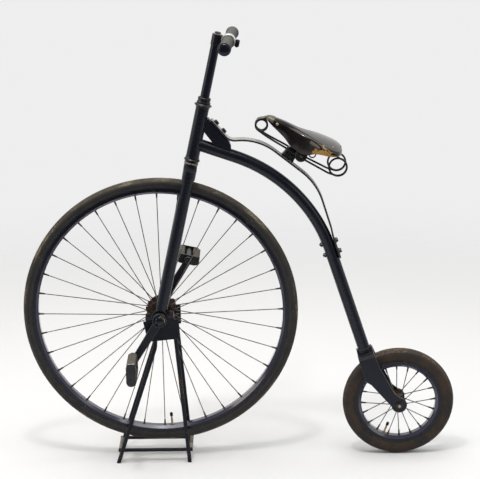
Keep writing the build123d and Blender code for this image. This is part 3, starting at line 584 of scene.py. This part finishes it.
# %% Smaller helpers: a soft curve through points, and a hexagon bolt
def soft_curve(points, steps=10):
    """Points on a smooth curve that passes through every given point."""
    points = [Vector(point) for point in points]
    padded = [2 * points[0] - points[1], *points, 2 * points[-1] - points[-2]]
    made = []
    for a, b, c, d in zip(padded, padded[1:], padded[2:], padded[3:]):
        for step in range(steps):
            t = step / steps
            made.append(0.5 * (2 * b + (c - a) * t + (2 * a - 5 * b + 4 * c - d) * t * t
                + (3 * b - a - 3 * c + d) * t ** 3))
    return [*made, points[-1]]


washer_thickness = 1.6


def hex_bolt(shape, seat, axis, radius, height, washer=0, turn=0, material=0):
    """A hexagon head with a chamfered top, on a round washer if its radius is given."""
    foot = washer_thickness if washer else 0
    top = foot + height
    if washer:
        turned(shape, seat, axis, [(0, washer - 0.3), (0.3, washer), (foot - 0.3, washer),
            (foot, washer - 0.4)], 32, material)
    turned(shape, seat, axis, [(foot, radius), (foot + height * 0.78, radius),
        (top, radius * 0.84)], 6, material, turn)
    turned(shape, seat, axis, [(foot + height * 0.9, radius * 0.8), (top + 0.1, radius * 0.76),
        (top + 0.1, 0)], 24, material)


# %% [markdown]
# ## Tyres
# The front tyre's tread is a field of small diamonds between two families of slanting grooves.
# The points of its grid sit a quarter of a diamond apart, so a point lies in a groove when its
# column and row numbers add up, or take away, to a multiple of four.


# %% Helpers for both tyres
tread_fall = 0.0295


def tread_point(radius, y, depth):
    """A point of a tread that falls away beside its middle line, less the depth of a groove."""
    return radius - tread_fall * y ** 2 - depth, y


def add_tyre(wheel, ending, centre, wall, treads, materials, sharp):
    """Join one section after another round a wheel: a wall, a row of tread, the other wall."""
    shape = bmesh.new()
    rings = []
    for number, tread in enumerate(treads):
        outward = outward_at(tau * number / len(treads))
        section = [(radius, -y) for radius, y in reversed(wall)] + tread + wall
        rings.append([centre + (outward * radius + across * y) * mm for radius, y in section])
    strips = [0] * len(wall) + [1] * (len(tread) - 1) + [0] * (len(wall) + 1)
    skin(shape, rings, strips, ends=False, around=True)
    add_piece(f"{wheel}_tyre_{ending}", shape, materials, f"{wheel}_wheel", "tyre_rubber",
        f"{wheel}_tyre", sharp=sharp)


# %% Front tyre
front_tyre_radius = 342
tread_step = 1.8
tread_columns = 8
tread_rows = 1192
groove_depth, crest_dip, shoulder_depth = 1.2, 0.25, 0.7
front_wall = [(330.5, 16.1), (328.8, 15.9), (328.4, 15.2), (327.8, 15.2), (327.4, 15.9),
    (324, 15.2), (320.5, 13.7), (318.7, 12), (315, 11.8), (311.2, 11.8)]
treads = []
for row in range(tread_rows):
    tread = []
    for column in range(-tread_columns, tread_columns + 1):
        in_groove = (row + column) % 4 == 0 or (row - column) % 4 == 0
        depth = groove_depth if in_groove else crest_dip * (row % 2)
        if abs(column) == tread_columns:
            depth = max(depth, shoulder_depth)
        tread.append(tread_point(front_tyre_radius, column * tread_step, depth))
    treads.append(tread)
add_tyre("front", "knurled", front_axle, front_wall, treads, [wall_rubber, tread_rubber], 28)

# %% [markdown]
# The rear tyre runs on plain rings. One fine section, repeated round the axle, is enough.

# %% Rear tyre
rear_tyre_radius = 140
rib_pitch, rib_depth, rib_edge, rib_sharpness = 2.9, 0.9, 13.6, 2.2
half_points, point_step = 40, 0.36
rear_sections = 240
rear_wall = [(126.5, 16), (122, 15.7), (117, 15), (114.2, 14.6), (113.4, 13.8),
    (112.6, 14.2), (110, 12.4), (106, 11.8), (101.8, 11.8)]
tread = []
for number in range(-half_points, half_points + 1):
    y = number * point_step
    from_rib = abs(((y / rib_pitch) % 1) - 0.5) * 2
    depth = rib_depth * max(0, 1 - from_rib * rib_sharpness) if abs(y) < rib_edge else 0
    tread.append(tread_point(rear_tyre_radius, y, depth))
add_tyre("rear", "ribbed", rear_axle, rear_wall, [tread] * rear_sections,
    [rear_wall_rubber, brown_rubber], 40)

# %% [markdown]
# ## Spoke ends and valves
# Each spoke is screwed into a long nipple at the rim and hooks into the hub. Both ends are
# turned round the model's plain rods. Numbered from the top, even spokes lean to the rider's
# right.

# %% Nipples
rim_offset = 1.5
nipple_profile = [(0.1, 0), (0.1, 3.1), (1, 3.1), (1.8, 2.3), (9.5, 2), (13, 1.7),
    (13.6, 1.2), (13.6, 0)]
hub_end_profile = [(0.2, 0), (0.2, 1.9), (3, 1.7), (4.2, 1.2), (4.2, 0)]
wheel_table = {
    # wheel: (axle, spokes, phase in degrees, hub radius, flange offset, rim radius)
    "front": (front_axle, 36, -0.5, 34, 25.5, 304),
    "rear": (rear_axle, 20, -2.6, 19, 25, 93.5),
}
for wheel, (centre, count, phase, hub_radius, flange_offset, rim_radius) in wheel_table.items():
    shape = bmesh.new()
    for number in range(count):
        outward = outward_at(radians(phase) + tau * number / count)
        lean = across * (-1 if number % 2 else 1)
        foot = centre + (outward * hub_radius + lean * flange_offset) * mm
        head = centre + (outward * rim_radius + lean * rim_offset) * mm
        turned(shape, head, foot - head, nipple_profile, 10)
        turned(shape, foot, head - foot, hub_end_profile, 8)
    add_piece(f"{wheel}_nipples", shape, [nipple_steel], f"{wheel}_wheel", "spoke_steel")

# %% Valves
thread_pitch = 0.8
valve_cap = [(-1, 2.7), (-1, 3.9), (0, 4), (5, 3.8), (7, 3), (8, 1.5), (8, 0)]
# wheel: (degrees from the top, length)
valve_table = {"front": (176, 24), "rear": (202, 22)}
for wheel, (degrees_round, length) in valve_table.items():
    centre, *_, rim_radius = wheel_table[wheel]
    outward = outward_at(radians(degrees_round))
    seat = centre + outward * (rim_radius - 0.1) * mm
    thread = []
    for number in range(int(length / thread_pitch)):
        ridge_top = 1.8 + number * thread_pitch
        thread += [(ridge_top, 2.6), (ridge_top + 0.4, 2.3)]
    stem = [(0, 0), (0, 5.2), (1.6, 5.2), (1.8, 2.6),
        *(point for point in thread if point[0] < length), (length, 2.6), (length, 0)]
    shape = bmesh.new()
    turned(shape, seat, -outward, stem, 20)
    turned(shape, seat, -outward, shifted(valve_cap, length), 20, 1)
    add_piece(f"{wheel}_valve_threaded", shape, [brass, plug_plastic], f"{wheel}_wheel", "brass",
        f"{wheel}_valve")

# %% [markdown]
# ## Handlebar, grips and stem
# The bar is clamped a little askew. The grips are moulded rubber with fine rings, a collar at
# each end and a black plug in the bar's end. Each is one profile, spun about the bar's line.

# %% The steering axis and the bar's line
tilt = atan2(steering_axis.x, steering_axis.z)
behind = Vector((cos(tilt), 0, -sin(tilt)))


def on_steering(height, back=0, y=0):
    """A place by its height up the steering axis, its distance behind it and to the right."""
    return front_axle + (steering_axis * height + behind * back + across * y) * mm


bar_askew = radians(3.7)
bar_height, bar_reach = 698, 28.3
bar_centre = on_steering(bar_height, bar_reach * cos(bar_askew), -bar_reach * sin(bar_askew))
bar_way = behind * sin(bar_askew) + across * cos(bar_askew)
bar_rear = bar_way.cross(steering_axis)
print("bar centre", bar_centre[:])

# %% Grips
grip_inner = 23
grip_length = 114
ring_pitch = 2.4
profile = [(0.4, 11), (0, 14.6), (0.8, 15.8), (3.2, 16), (4, 15.2), (4.8, 14)]
for number in range(int((grip_length - 11) / ring_pitch)):
    along = 5.4 + number * ring_pitch
    profile += [(along, 14), (along + 0.5, 14.4), (along + 1.3, 14.4), (along + 1.8, 14)]
outer_collar = [(-4.6, 14), (-3.6, 15.2), (-2.6, 15.9), (-0.8, 15.9), (0, 15), (0, 12.6)]
plug = [(-0.4, 12.8), (0.8, 12.7), (1.8, 11.6), (2.9, 9.2), (3.7, 6), (4.1, 3), (4.2, 0)]
for name, side in sides.items():
    shape = bmesh.new()
    seat = bar_centre + bar_way * side * grip_inner * mm
    turned(shape, seat, bar_way * side, profile + shifted(outer_collar, grip_length), 56)
    turned(shape, seat, bar_way * side, shifted(plug, grip_length), 56, 1)
    add_piece(f"grip_{name}_ringed", shape, [grip_rubber, plug_plastic], "front_assembly",
        "grip_rubber", f"grip_{name}")

# %% The clamp's bright band, and the bolts of the stem
band_profile = [(-12, 14.6), (-12, 16.2), (-11.2, 16.9), (11.2, 16.9), (12, 16.2), (12, 14.6)]
stem_top = on_steering(708)
ear = bar_centre + bar_rear * 21.5 * mm
shape = bmesh.new()
turned(shape, bar_centre, bar_way, band_profile)
add_piece("stem_clamp_band", shape, [bright_steel_and_glint], "front_assembly", "plated_steel")
shape = bmesh.new()
hex_bolt(shape, stem_top, steering_axis, 7.5, 5.8, turn=0.3)
turned(shape, stem_top, steering_axis, [(0, 9), (0.3, 9.6), (1.3, 9.6), (1.6, 9), (1.6, 0)], 32, 1)
hex_bolt(shape, ear + steering_axis * 4 * mm, steering_axis, 5.4, 3.4, turn=0.5)
turned(shape, ear - steering_axis * 8 * mm, -steering_axis,
    [(0, 3.6), (2, 3.6), (3, 2.8), (3, 0)], 16)
add_piece("stem_bolts", shape, [dark_steel, tan_washer], "front_assembly", "black_steel",
    "stem_bolt")

# %% [markdown]
# ## Headset
# Bearing cups and nuts are turned parts with lips that catch the light. The solids give their
# places, and here each gets its true profile.

# %% Cups, race and locknut
headset_table = [
    # piece, height of its foot on the axis, profile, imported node, body, finish, slot
    ("headset_top_nut", 538.3,
        [(0, 12.8), (0, 16.2), (0.8, 16.8), (3, 16.8), (3.8, 15.6), (7.8, 15), (8.4, 15.7),
            (13, 15.7), (14.3, 14.4), (14.6, 12)],
        "headset_locknut", "front_assembly", dark_steel, "black_steel"),
    ("headset_top_cup", 527,
        [(0, 12.8), (0, 17), (3, 17.3), (4.6, 19), (5.6, 21), (6.6, 21.4), (7.6, 20.9),
            (8.8, 18.6), (10.6, 17.4), (11, 16.6), (11, 12.8)],
        "headset_upper_cup", "frame", dark_steel, "black_steel"),
    ("headset_foot_cup", 390,
        [(0, 12.8), (0, 16.6), (2, 17), (4.4, 18.8), (5.8, 19.5), (7.2, 19.3), (8.6, 17.9),
            (10.2, 17), (14, 16.8), (14, 12.8)],
        "headset_lower_cup", "frame", dark_steel, "black_steel"),
    ("headset_race", 385,
        [(0, 12.8), (0, 16.8), (1.2, 17.6), (3.2, 17.6), (4.5, 16.6), (4.6, 12.8)],
        "headset_lower_race", "front_assembly", tan_washer, "rusty_steel"),
]
for name, foot, profile, node, body, metal, slot in headset_table:
    shape = bmesh.new()
    turned(shape, on_steering(foot), steering_axis, profile, 64)
    add_piece(name, shape, [metal], body, slot, node)

# %% [markdown]
# ## Cranks and pedals
# A domed cap closes each end of the axle, and the brass arc on its lip is a painted highlight.
# Each pedal carries two rubber blocks: a soft-cornered section that swells at every rib. The
# bright wires at each pedal's outer end are painted highlight lines.

# %% Axle caps
cap_face = 78.5
lip_profile = [(0, 13.4), (1, 13.8), (2, 13.4), (2.4, 12.4), (1.6, 11.9)]
dome_profile = [(0.4, 12.1), (2, 11.8), (4.2, 10.2), (6, 7.4), (7.2, 3.6), (7.4, 0)]
# painted highlight: a brass arc laid on top of the lip, over its upper rear part only
arc_radius, arc_height, arc_wire = 12.9, 2.2, 0.75
arc_from, arc_to, arc_step = 8, 112, 4           # degrees from the top, towards the rear
for name, side in sides.items():
    shape = bmesh.new()
    outside = across * side
    seat = front_axle + outside * cap_face * mm
    turned(shape, seat, outside, lip_profile)
    painted_highlight_arc = [seat + (outward_at(radians(turn)) * arc_radius + outside * arc_height) * mm
        for turn in range(arc_from, arc_to, arc_step)]
    drawn(shape, painted_highlight_arc, arc_wire, 8, 1)
    turned(shape, seat, outside, dome_profile)
    add_piece(f"axle_cap_{name}", shape, [plug_plastic, brass], "front_wheel", "brass",
        *(["crank_dust_caps"] if name == "left" else []))

# %% Pedal blocks
pedal_table = {"left": 90, "right": -13}     # degrees that each pedal leans back
block_places = (-19.2, 19.2)
block_half_depth, block_half_height = 9.7, 11.4
block_start, block_end, block_lip = 87.2, 162.8, 1.2
rib_count = 9
rib_valley, end_swell, lip_swell = 0.93, 0.8, 0.95
corner_count, corner_power = 32, 0.5             # a power under 1 squares the section
corner_angles = [tau * k / corner_count for k in range(corner_count)]
# painted highlights: two bright steel wires along the edges at the pedal's outer end
glint_strip_height, glint_strip_reach, glint_strip_radius = 28.2, 1.6, 1.1


def squared(value):
    """A sine or cosine pushed towards 1 or -1."""
    return abs(value) ** corner_power * (1 if value > 0 else -1)


block_stations = [(block_start, end_swell), (block_start + block_lip, lip_swell)]
rib = (block_end - block_start - 2 * block_lip) / rib_count
for number in range(rib_count):
    foot = block_start + block_lip + number * rib
    block_stations += [(foot + rib * 0.12, 1), (foot + rib * 0.62, 1),
        (foot + rib * 0.72, rib_valley), (foot + rib * 0.95, rib_valley)]
block_stations += [(block_end - 1, lip_swell), (block_end, end_swell)]
for name, lean in pedal_table.items():
    side = sides[name]
    shape = bmesh.new()
    spindle = Vector(joints[f"pedal_{name}_spin"]["pos_m"])
    middle = Vector((spindle.x, 0, spindle.z))
    along_pedal, upward = sloped(lean)
    for place in block_places:
        skin(shape, [[middle + (
            along_pedal * (place + squared(cos(angle)) * block_half_depth * swell)
            + (upward * squared(sin(angle)) * block_half_height * swell + across * side * y)) * mm
            for angle in corner_angles] for y, swell in block_stations])
    # painted highlight lines: bright wires at the outer end of the pedal
    for height in (glint_strip_height, -glint_strip_height):
        strip = [middle + (along_pedal * height + upward * part
            + across * side * (block_end + glint_strip_reach)) * mm for part in (-9, -4.5, 0, 4.5, 9)]
        drawn(shape, strip, glint_strip_radius, 8, 1)
    add_piece(f"pedal_blocks_{name}", shape, [pedal_rubber, bright_steel_and_glint], f"pedal_{name}",
        "pedal_rubber", f"pedal_rubbers_{name}")

# %% [markdown]
# ## Bolts of the frame and the stand
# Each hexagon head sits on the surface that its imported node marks, and on a round washer
# where the real one has it.

# %% Leaf spring bolts, with their nuts under the backbone
tube_out, tube_up = sloped(18.1)
bend_centre, bend_radius = at(64.5, 38.6), 376
bend_foot = bend_centre + tube_out * bend_radius * mm
tube_front, tube_back = 19.4, -14.6
leaf_start, leaf_corner = at(134.8, 484.7), at(177.6, 434.4)
leaf_half_thickness = 2.2
leaf_run = (leaf_corner - leaf_start).normalized()
leaf_up = Vector((-leaf_run.z, 0, leaf_run.x))
shape = bmesh.new()
for along in (13, 40):
    seat = leaf_start + (leaf_run * along + leaf_up * leaf_half_thickness) * mm
    hex_bolt(shape, seat, leaf_up, 6.6, 5, washer=7.4, turn=0.4)
for up in (18, -10.5):
    seat = bend_foot + (tube_out * tube_front + tube_up * up) * mm
    hex_bolt(shape, seat, tube_out, 6.4, 4.6, washer=7)
    nut = bend_foot + (tube_out * tube_back + tube_up * up) * mm
    turned(shape, nut, -tube_out, [(0, 6.4), (4.4, 6.4), (5.2, 5.6)], 6)
    turned(shape, nut, -tube_out, [(4.8, 3.2), (7.2, 3), (7.4, 2.4), (7.4, 0)], 16)
add_piece("leaf_spring_hex_bolts", shape, [dark_steel], "frame", "black_steel",
    "leaf_spring_bolts")

# %% Bearing cap bolts and the rear axle
cap_along, cap_up = sloped(6.3)
shape = bmesh.new()
for side in sides.values():
    for along in (-28, 28):
        seat = front_axle + (cap_along * along + cap_up * 7 + across * side * 47) * mm
        hex_bolt(shape, seat, cap_up, 6.4, 4.2, washer=7, turn=0.2 * side)
add_piece("bearing_hex_bolts", shape, [rusted], "front_assembly", "rusty_steel", "bearing_bolts")
nut_face, axle_half, axle_radius = 35.3, 36, 4.7
shape = bmesh.new()
for side in sides.values():
    seat = rear_axle + across * side * nut_face * mm
    hex_bolt(shape, seat, across * side, 7, 5.2, washer=8.6, turn=0.25, material=1)
    turned(shape, seat, across * side, [(6.6, 3.6), (9.4, 3.5), (10.2, 2.8), (10.2, 0)], 24)
turned(shape, rear_axle - across * axle_half * mm, across,
    [(0, 0), (0, axle_radius), (2 * axle_half, axle_radius), (2 * axle_half, 0)], 24)
add_piece("rear_axle_nuts", shape, [brass, dark_steel], "frame", "plated_steel", "rear_axle")

# %% [markdown]
# ## The saddle
# A leather saddle is one thick hide, wetted and stretched over a frame: narrow at the nose,
# broad at the rear, with a flap drawn down on each side. Stations run round its outline, and
# each has a row of points from the ridge out over a rolled edge and down the skirt. Thickness
# and smoothness come from modifiers.

# %% The saddle's own directions
saddle_along, saddle_up = sloped(-22.4)
saddle_nose = at(270, 490)


def on_saddle(u, v, w):
    """A place by its distance along the saddle, right of its ridge, and above its base line."""
    return saddle_nose + (saddle_along * u + across * v + saddle_up * w) * mm


# height of the saddle's top line, from the nose back: it sags in the middle, as old hides do
ridge_table = [(-6, 1), (6, 4.6), (20, 6), (40, 6), (60, 4.6), (80, 2.4), (100, 1.6),
    (120, 1.9), (140, 2.2), (160, 1.9), (180, 0.8), (198, -3)]
ridge_line = [(place.x, place.z) for place in soft_curve([(u, 0, w) for u, w in ridge_table], 6)]
crown_fall = 0.0012


def crown(u, v):
    """Height of the leather's upper face, which falls away on both sides of the top line."""
    for (u_before, w_before), (u_after, w_after) in zip(ridge_line, ridge_line[1:]):
        if u <= u_after:
            break
    ridge = w_before + (w_after - w_before) * (u - u_before) / (u_after - u_before)
    return ridge - crown_fall * v * v


# %% The outline: along, half width, skirt's lower edge, where its row meets the ridge, tuck
saddle_stations = [
    (-4, 0, -5, 10, 0), (-2.5, 6, -5.5, 10, 0), (2.5, 12.5, -6.5, 11, 0),
    (16, 18.8, -13, 18, 0.5), (38, 21.5, -22.5, 38, 3), (56, 24, -31.5, 57, 7),
    (76, 29, -43.5, 75, 4), (90, 34, -46.5, 89, 7.5), (103, 40, -50, 100, 9.5),
    (114, 47, -49.5, 110, 12), (123, 55, -46, 117, 14.5), (130, 62, -39.5, 122, 15),
    (137, 69, -31.5, 127, 8), (150, 77.5, -25, 136, 2.5), (163, 81.5, -22, 143, 1),
    (174, 80, -18.8, 150, 0), (184, 72, -16.5, 156, 0), (191.5, 57, -15, 162, 0),
    (196.5, 33, -14.5, 166, 0), (198, 0, -14.5, 168, 0),
]
columns = [[place.y for place in soft_curve([(0, value, 0) for value in column], 3)]
    for column in zip(*saddle_stations)]
stations = list(zip(*columns))
print(len(stations), "stations on each side of the saddle")

# %% Rows of the hide
body_steps = (0, 0.25, 0.5, 0.75)
roll_steps = (1, 0.62, 0.32, 0.12, 0)
skirt_steps = (0.15, 0.35, 0.6, 0.82, 1)
rub_middle, rub_reach, edge_rub = 154, 30, 0.45      # where the skirt is rubbed most
neck_middle, neck_reach = 55, 62
least_roll, neck_roll = 8, 9


def roll(u):
    """Radius of the rolled edge: generous round the narrow neck, tighter at the broad rear."""
    return least_roll + neck_roll * max(0, 1 - ((u - neck_middle) / neck_reach) ** 2)


def hide_row(station, side):
    """One row of the hide from its ridge to the skirt's edge, and how worn each point is."""
    u, half, foot, root, tuck = station
    reach = sqrt((u - root) ** 2 + half ** 2)
    out_u, out_v = (u - root) / reach, half / reach
    edge = min(roll(u), 0.6 * (crown(u, half) - foot), 0.45 * reach + 0.3 * roll(u))
    inner = min(1.6 * edge, 0.5 * (reach + edge))
    distances = [reach - (reach - inner) * share for share in body_steps]
    distances += [inner] + [edge * step for step in roll_steps]
    rubbed = max(0, 1 - abs(u - rub_middle) / rub_reach) ** 0.5
    row = []
    for distance in distances:
        at_u, at_v = root + out_u * (reach - distance), out_v * (reach - distance)
        sunk = edge - sqrt(edge ** 2 - (edge - distance) ** 2) if distance < edge else 0
        row.append((at_u, at_v, crown(at_u, at_v) - sunk,
            edge_rub * rubbed if distance < 0.4 * edge else 0))
    edge_w = row[-1][2]
    for share in skirt_steps:
        inward = tuck * (share - sin(pi * share) * 0.25)
        row.append((u - out_u * inward, max(0, half - out_v * inward),
            edge_w + (foot - edge_w) * share, 0.1 * share + rubbed * min(1, 0.4 + 1.3 * share)))
    return [(on_saddle(at_u, side * at_v, w), worn) for at_u, at_v, w, worn in row]


# %% The hide
hide_thickness = 3.4
shape = bmesh.new()
wear_layer = shape.verts.layers.float.new("worn")
rows = [hide_row(station, -1) for station in stations]
rows += [hide_row(station, 1) for station in reversed(stations[1:-1])]
grid = skin(shape, [[place for place, _ in row] for row in rows], closed=False, ends=False,
    around=True)
for row, line in zip(rows, grid):
    for (_, worn), point in zip(row, line):
        point[wear_layer] = worn
bmesh.ops.remove_doubles(shape, verts=shape.verts, dist=0.0003)
bmesh.ops.recalc_face_normals(shape, faces=shape.faces)
if sum(face.normal.dot(saddle_up) * face.calc_area() for face in shape.faces) < 0:
    bmesh.ops.reverse_faces(shape, faces=shape.faces)
hide = put_in_scene("saddle_hide", settle("saddle_hide", shape))
thicken = hide.modifiers.new("thickness", "SOLIDIFY")
thicken.thickness = hide_thickness * mm
thicken.offset = -1
thicken.use_quality_normals = True
round_off = hide.modifiers.new("smooth", "SUBSURF")
round_off.levels = 2
settled = bpy.data.meshes.new_from_object(
    hide.evaluated_get(bpy.context.evaluated_depsgraph_get()))
hide.modifiers.clear()
hide.data = settled
settled.shade_smooth()
settled.materials.append(leather)
hang(hide, "frame", "leather", "saddle_leather")

# %% [markdown]
# The hide is hung on copper rivets, and a formed cap of brassy steel is riveted over its nose.
# Each rivet is given by a place near the leather, and sits on the nearest point of the hide.

# %% Rivets
hide_surface = BVHTree.FromPolygons([point.co for point in settled.vertices],
    [tuple(face.vertices) for face in settled.polygons])
rivet_sunk = 0.3
rivet_table = [
    # along, half width, height, head radius, drop on the right side (mm)
    (27, 21, -4.4, 3.6, 0),
    (144, 70, 0, 3.4, 9), (170, 52, 4, 3.6, 9), (193, 4, 4, 3.4, 9),
]
shape = bmesh.new()
for u, v, w, radius, right_drop in rivet_table:
    for side in sides.values():
        drop = right_drop if side > 0 else 0
        near = on_saddle(u, side * (v + drop / 3), w - drop)
        seat, out, _, _ = hide_surface.find_nearest(near)
        turned(shape, seat - out * rivet_sunk * mm, out, [(0, radius), (0.9, radius * 0.96),
            (1.6, radius * 0.7), (2, radius * 0.3), (2.1, 0)], 20)
add_piece("saddle_rivets", shape, [copper], "frame", "brass")

# %% The nose cap, a little proud of the hide, with a tongue that hooks over the front coil
cap_length, tip_length = 19, 3
tip_points, side_points = 15, 11       # how far down the hide's rows the cap reaches
cap_proud = 0.9
tongue_half_width, tongue_half_thickness = 10.5, 0.7
shape = bmesh.new()
cap_rows = []
cap_middle = on_saddle(14, 0, -6)
for station in [station for station in stations if station[0] < cap_length]:
    kept = tip_points if station[0] < tip_length else side_points
    places = [place for place, _ in hide_row(station, 1)[:kept]]
    cap_rows.append([place + (place - cap_middle).normalized() * cap_proud * mm
        for place in places])
for pair in zip(cap_rows, cap_rows[1:]):
    for side in (-1, 1):
        skin(shape, [[(place.x, side * place.y, place.z) for place in row] for row in pair],
            closed=False, ends=False)
bmesh.ops.remove_doubles(shape, verts=shape.verts, dist=0.00015)
tongue = soft_curve([at(244.6, 484.2), at(249, 486.8), at(255.2, 488), at(261, 488.6),
    at(266, 490.6)], 5)
for pair in zip(tongue, tongue[1:]):
    up = (pair[1] - pair[0]).cross(across).normalized() * -tongue_half_thickness * mm
    out = across * tongue_half_width * mm
    rings = skin(shape, [[place + shift for shift in (up - out, up + out, out - up, -up - out)]
        for place in pair], ends=False)
    for place, ring, end in zip(pair, rings, (tongue[0], tongue[-1])):
        if place is end:
            shape.faces.new(ring)
bmesh.ops.remove_doubles(shape, verts=shape.verts, dist=0.00001)
add_piece("saddle_nose_cap", shape, [nose_metal], "frame", "nose_metal", "saddle_nose_plate",
    sharp=50)

# %% [markdown]
# ## Saddle springs
# The springs are bent from one gauge of wire. The front one is a single length: it runs
# forward from the clamp, coils under the nose, hooks into the cap, coils again and runs back.
# At the rear each side has one coil. Every route is a soft curve through a few points.

# %% Front spring
wire_radius, tail_radius = 2.4, 1.6


def turns(centre, radius, start, end, y_start, y_end, steps):
    """Part of a coil about a cross axis, between two angles in degrees, creeping sideways."""
    made = []
    for step in range(steps + 1):
        share = step / steps
        angle = radians(start + (end - start) * share)
        made.append(at(centre[0] + radius * cos(angle), centre[1] + radius * sin(angle),
            y_start + (y_end - y_start) * share))
    return made


front_coil, front_turn = (255.2, 470.6), 14.1
run_angle = -123.6                 # where the straight wires leave a coil, in degrees
left_run = soft_curve([at(349, 391.6, -19.3), at(334, 402.4, -19.3), at(312.5, 417.1, -18.6),
    at(290, 430.4, -15.4), at(266, 445.2, -11.6),
    *turns(front_coil, front_turn, run_angle, run_angle - 12, -9.4, -9.3, 1)], 6)[:-6]
left_turns = turns(front_coil, front_turn, run_angle, -630, -9.4, -3.4, 90)
hook = soft_curve([left_turns[-1], at(261, 484.4, -3.2), at(265.4, 484, -2.2),
    at(266.6, 483.9, 0), at(265.4, 484, 2.2), at(261, 484.4, 3.2),
    left_turns[-1] + across * 6.8 * mm], 4)[1:-1]
half_way = left_run + left_turns
mirrored = [Vector((place.x, -place.y, place.z)) for place in reversed(half_way)]
shape = bmesh.new()
drawn(shape, half_way + hook + mirrored, wire_radius)
add_piece("saddle_nose_spring", shape, [wire_steel], "frame", "black_steel",
    "saddle_front_springs")

# %% Rear springs
rear_coil, rear_turn = (438.4, 370), 21.5
shape = bmesh.new()
for side in sides.values():
    coiled = turns(rear_coil, rear_turn, -112, 430, side * 26, side * 31, 96)
    run = soft_curve([at(351, 390.8, side * 19.3), at(365, 382.9, side * 19.4),
        at(400.4, 363.2, side * 23.6), at(415.6, 355, side * 25.2), coiled[0]], 8)
    rise = soft_curve([coiled[-1], at(439, 394.6, side * 31.2), at(431, 401.5, side * 31.2),
        at(428, 408, side * 31.2)], 5)
    drawn(shape, run[:-1] + coiled + rise[1:], wire_radius)
add_piece("saddle_cantle_springs", shape, [wire_steel], "frame", "black_steel",
    "saddle_rear_springs")

# %% [markdown]
# The springs are gripped by a clamp that stands on the leaf. A forged foot reaches back to a
# cross tube, where a pair of serrated discs on each side squeezes the wire under a bolt.


# %% Saddle clamp
def plate(shape, outline, half_width, bevel):
    """An outline of (rearward, up) in mm, as a plate across the middle with eased edges."""
    middle_x, middle_z = (sum(values) / len(outline) for values in zip(*outline))
    shrunk = 1 - 2 * bevel / (max(x for x, _ in outline) - min(x for x, _ in outline))
    skin(shape, [[at(middle_x + (x - middle_x) * scale, middle_z + (z - middle_z) * scale, y)
        for x, z in outline] for y, scale in ((-half_width, shrunk), (bevel - half_width, 1),
            (half_width - bevel, 1), (half_width, shrunk))])


clamp_axis = (349.8, 397.6)
foot_outline = [(303, 398), (308.5, 402.6), (313, 409), (318.5, 414.6), (325.5, 414.6),
    (333, 410.6), (342, 407.8), (350, 407), (357, 403), (358.6, 396),
    (353.5, 389.8), (343.5, 388.6), (335, 387), (330.5, 377.4)]
cheek_outline = [(308, 399.5), (314, 407), (320, 410), (326, 402), (327, 388), (322.5, 386)]
serration_depth = 0.5
shape = bmesh.new()
plate(shape, foot_outline, 9.5, 1.2)
plate(shape, cheek_outline, 12.5, 1)
for side in sides.values():
    outside = across * side
    turned(shape, at(*clamp_axis, side * 8), outside, [(0, 9), (5, 9)], 32)
    for near, far in ((12.4, 17), (21.6, 26.2)):
        before = len(shape.verts)
        turned(shape, at(*clamp_axis, side * near), outside,
            [(0, 13), (0.8, 15.2), (far - near - 1.4, 15.4), (far - near, 13.4)], 80)
        shape.verts.ensure_lookup_table()
        for vertex in list(shape.verts)[before + 1::2]:
            offset = vertex.co - at(*clamp_axis)
            offset.y = 0
            vertex.co -= offset.normalized() * serration_depth * mm
    turned(shape, at(*clamp_axis, side * 17), outside, [(0, 4), (4.6, 4)], 24)
    turned(shape, at(*clamp_axis, side * 26.2), outside, [(0, 10.5), (0.7, 10.2), (0.7, 7)], 40)
    hex_bolt(shape, at(*clamp_axis, side * 26.9), outside, 4.6, 3.2, material=1)
    for x, z in ((317, 401), (325, 394)):
        hex_bolt(shape, at(x, z, side * 12.5), outside, 3.4, 2, turn=0.4)
add_piece("saddle_clamp_forged", shape, [dark_steel, copper_worn], "frame", "black_steel",
    "saddle_clamp")

# %% The tail of a wire that curls up under the flap
tail_y = -16
curl = turns((377.5, 399.5), 8, 178, 368, tail_y, tail_y, 20)
shape = bmesh.new()
drawn(shape, [at(369.4, 407, tail_y), *curl, at(386, 410, tail_y)], tail_radius, 10)
add_piece("saddle_wire_tail", shape, [wire_steel], "frame", "black_steel")

# %% [markdown]
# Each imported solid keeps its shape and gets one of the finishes. Those that the table doesn't
# name, such as the bar and the pedal bodies, are of blackened steel.

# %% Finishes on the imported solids
finish_table = [
    (frame_enamel, "fork_crown fork_leg_left fork_leg_right bearing_caps head_tube backbone stem"
        " head_gusset"),
    # the rear fork takes the crank enamel, whose wide pale edges paint its highlight lines
    (crank_wear_and_edge_glint, "crank_left crank_right rear_fork_crown rear_fork_blades"),
    (stand_enamel, "stand_brackets stand_front_legs stand_rear_legs stand_rails"),
    (stand_rust, "stand_cross_rods"),
    (rim_enamel, "front_rim rear_rim"),
    (spoke_steel, "front_spokes rear_spokes"),
    (rusted, "front_hub rear_hub bearing_bolts rear_axle front_axle"),
    (wire_steel, "saddle_front_springs saddle_rear_springs"),
    (leaf_steel, "saddle_leaf_spring saddle_nose_plate"),
    (wall_rubber, "front_tyre saddle_leather"),
    (brown_rubber, "rear_tyre"),
    (grip_rubber, "grip_left grip_right pedal_rubbers_left pedal_rubbers_right"),
    (brass, "front_valve rear_valve"),
]
chosen = {name: material for material, names in finish_table for name in names.split()}
for name, node in nodes.items():
    node.data.materials.clear()
    node.data.materials.append(chosen.get(name, dark_steel))
print(len(chosen), "nodes have a finish of their own, of", len(nodes))
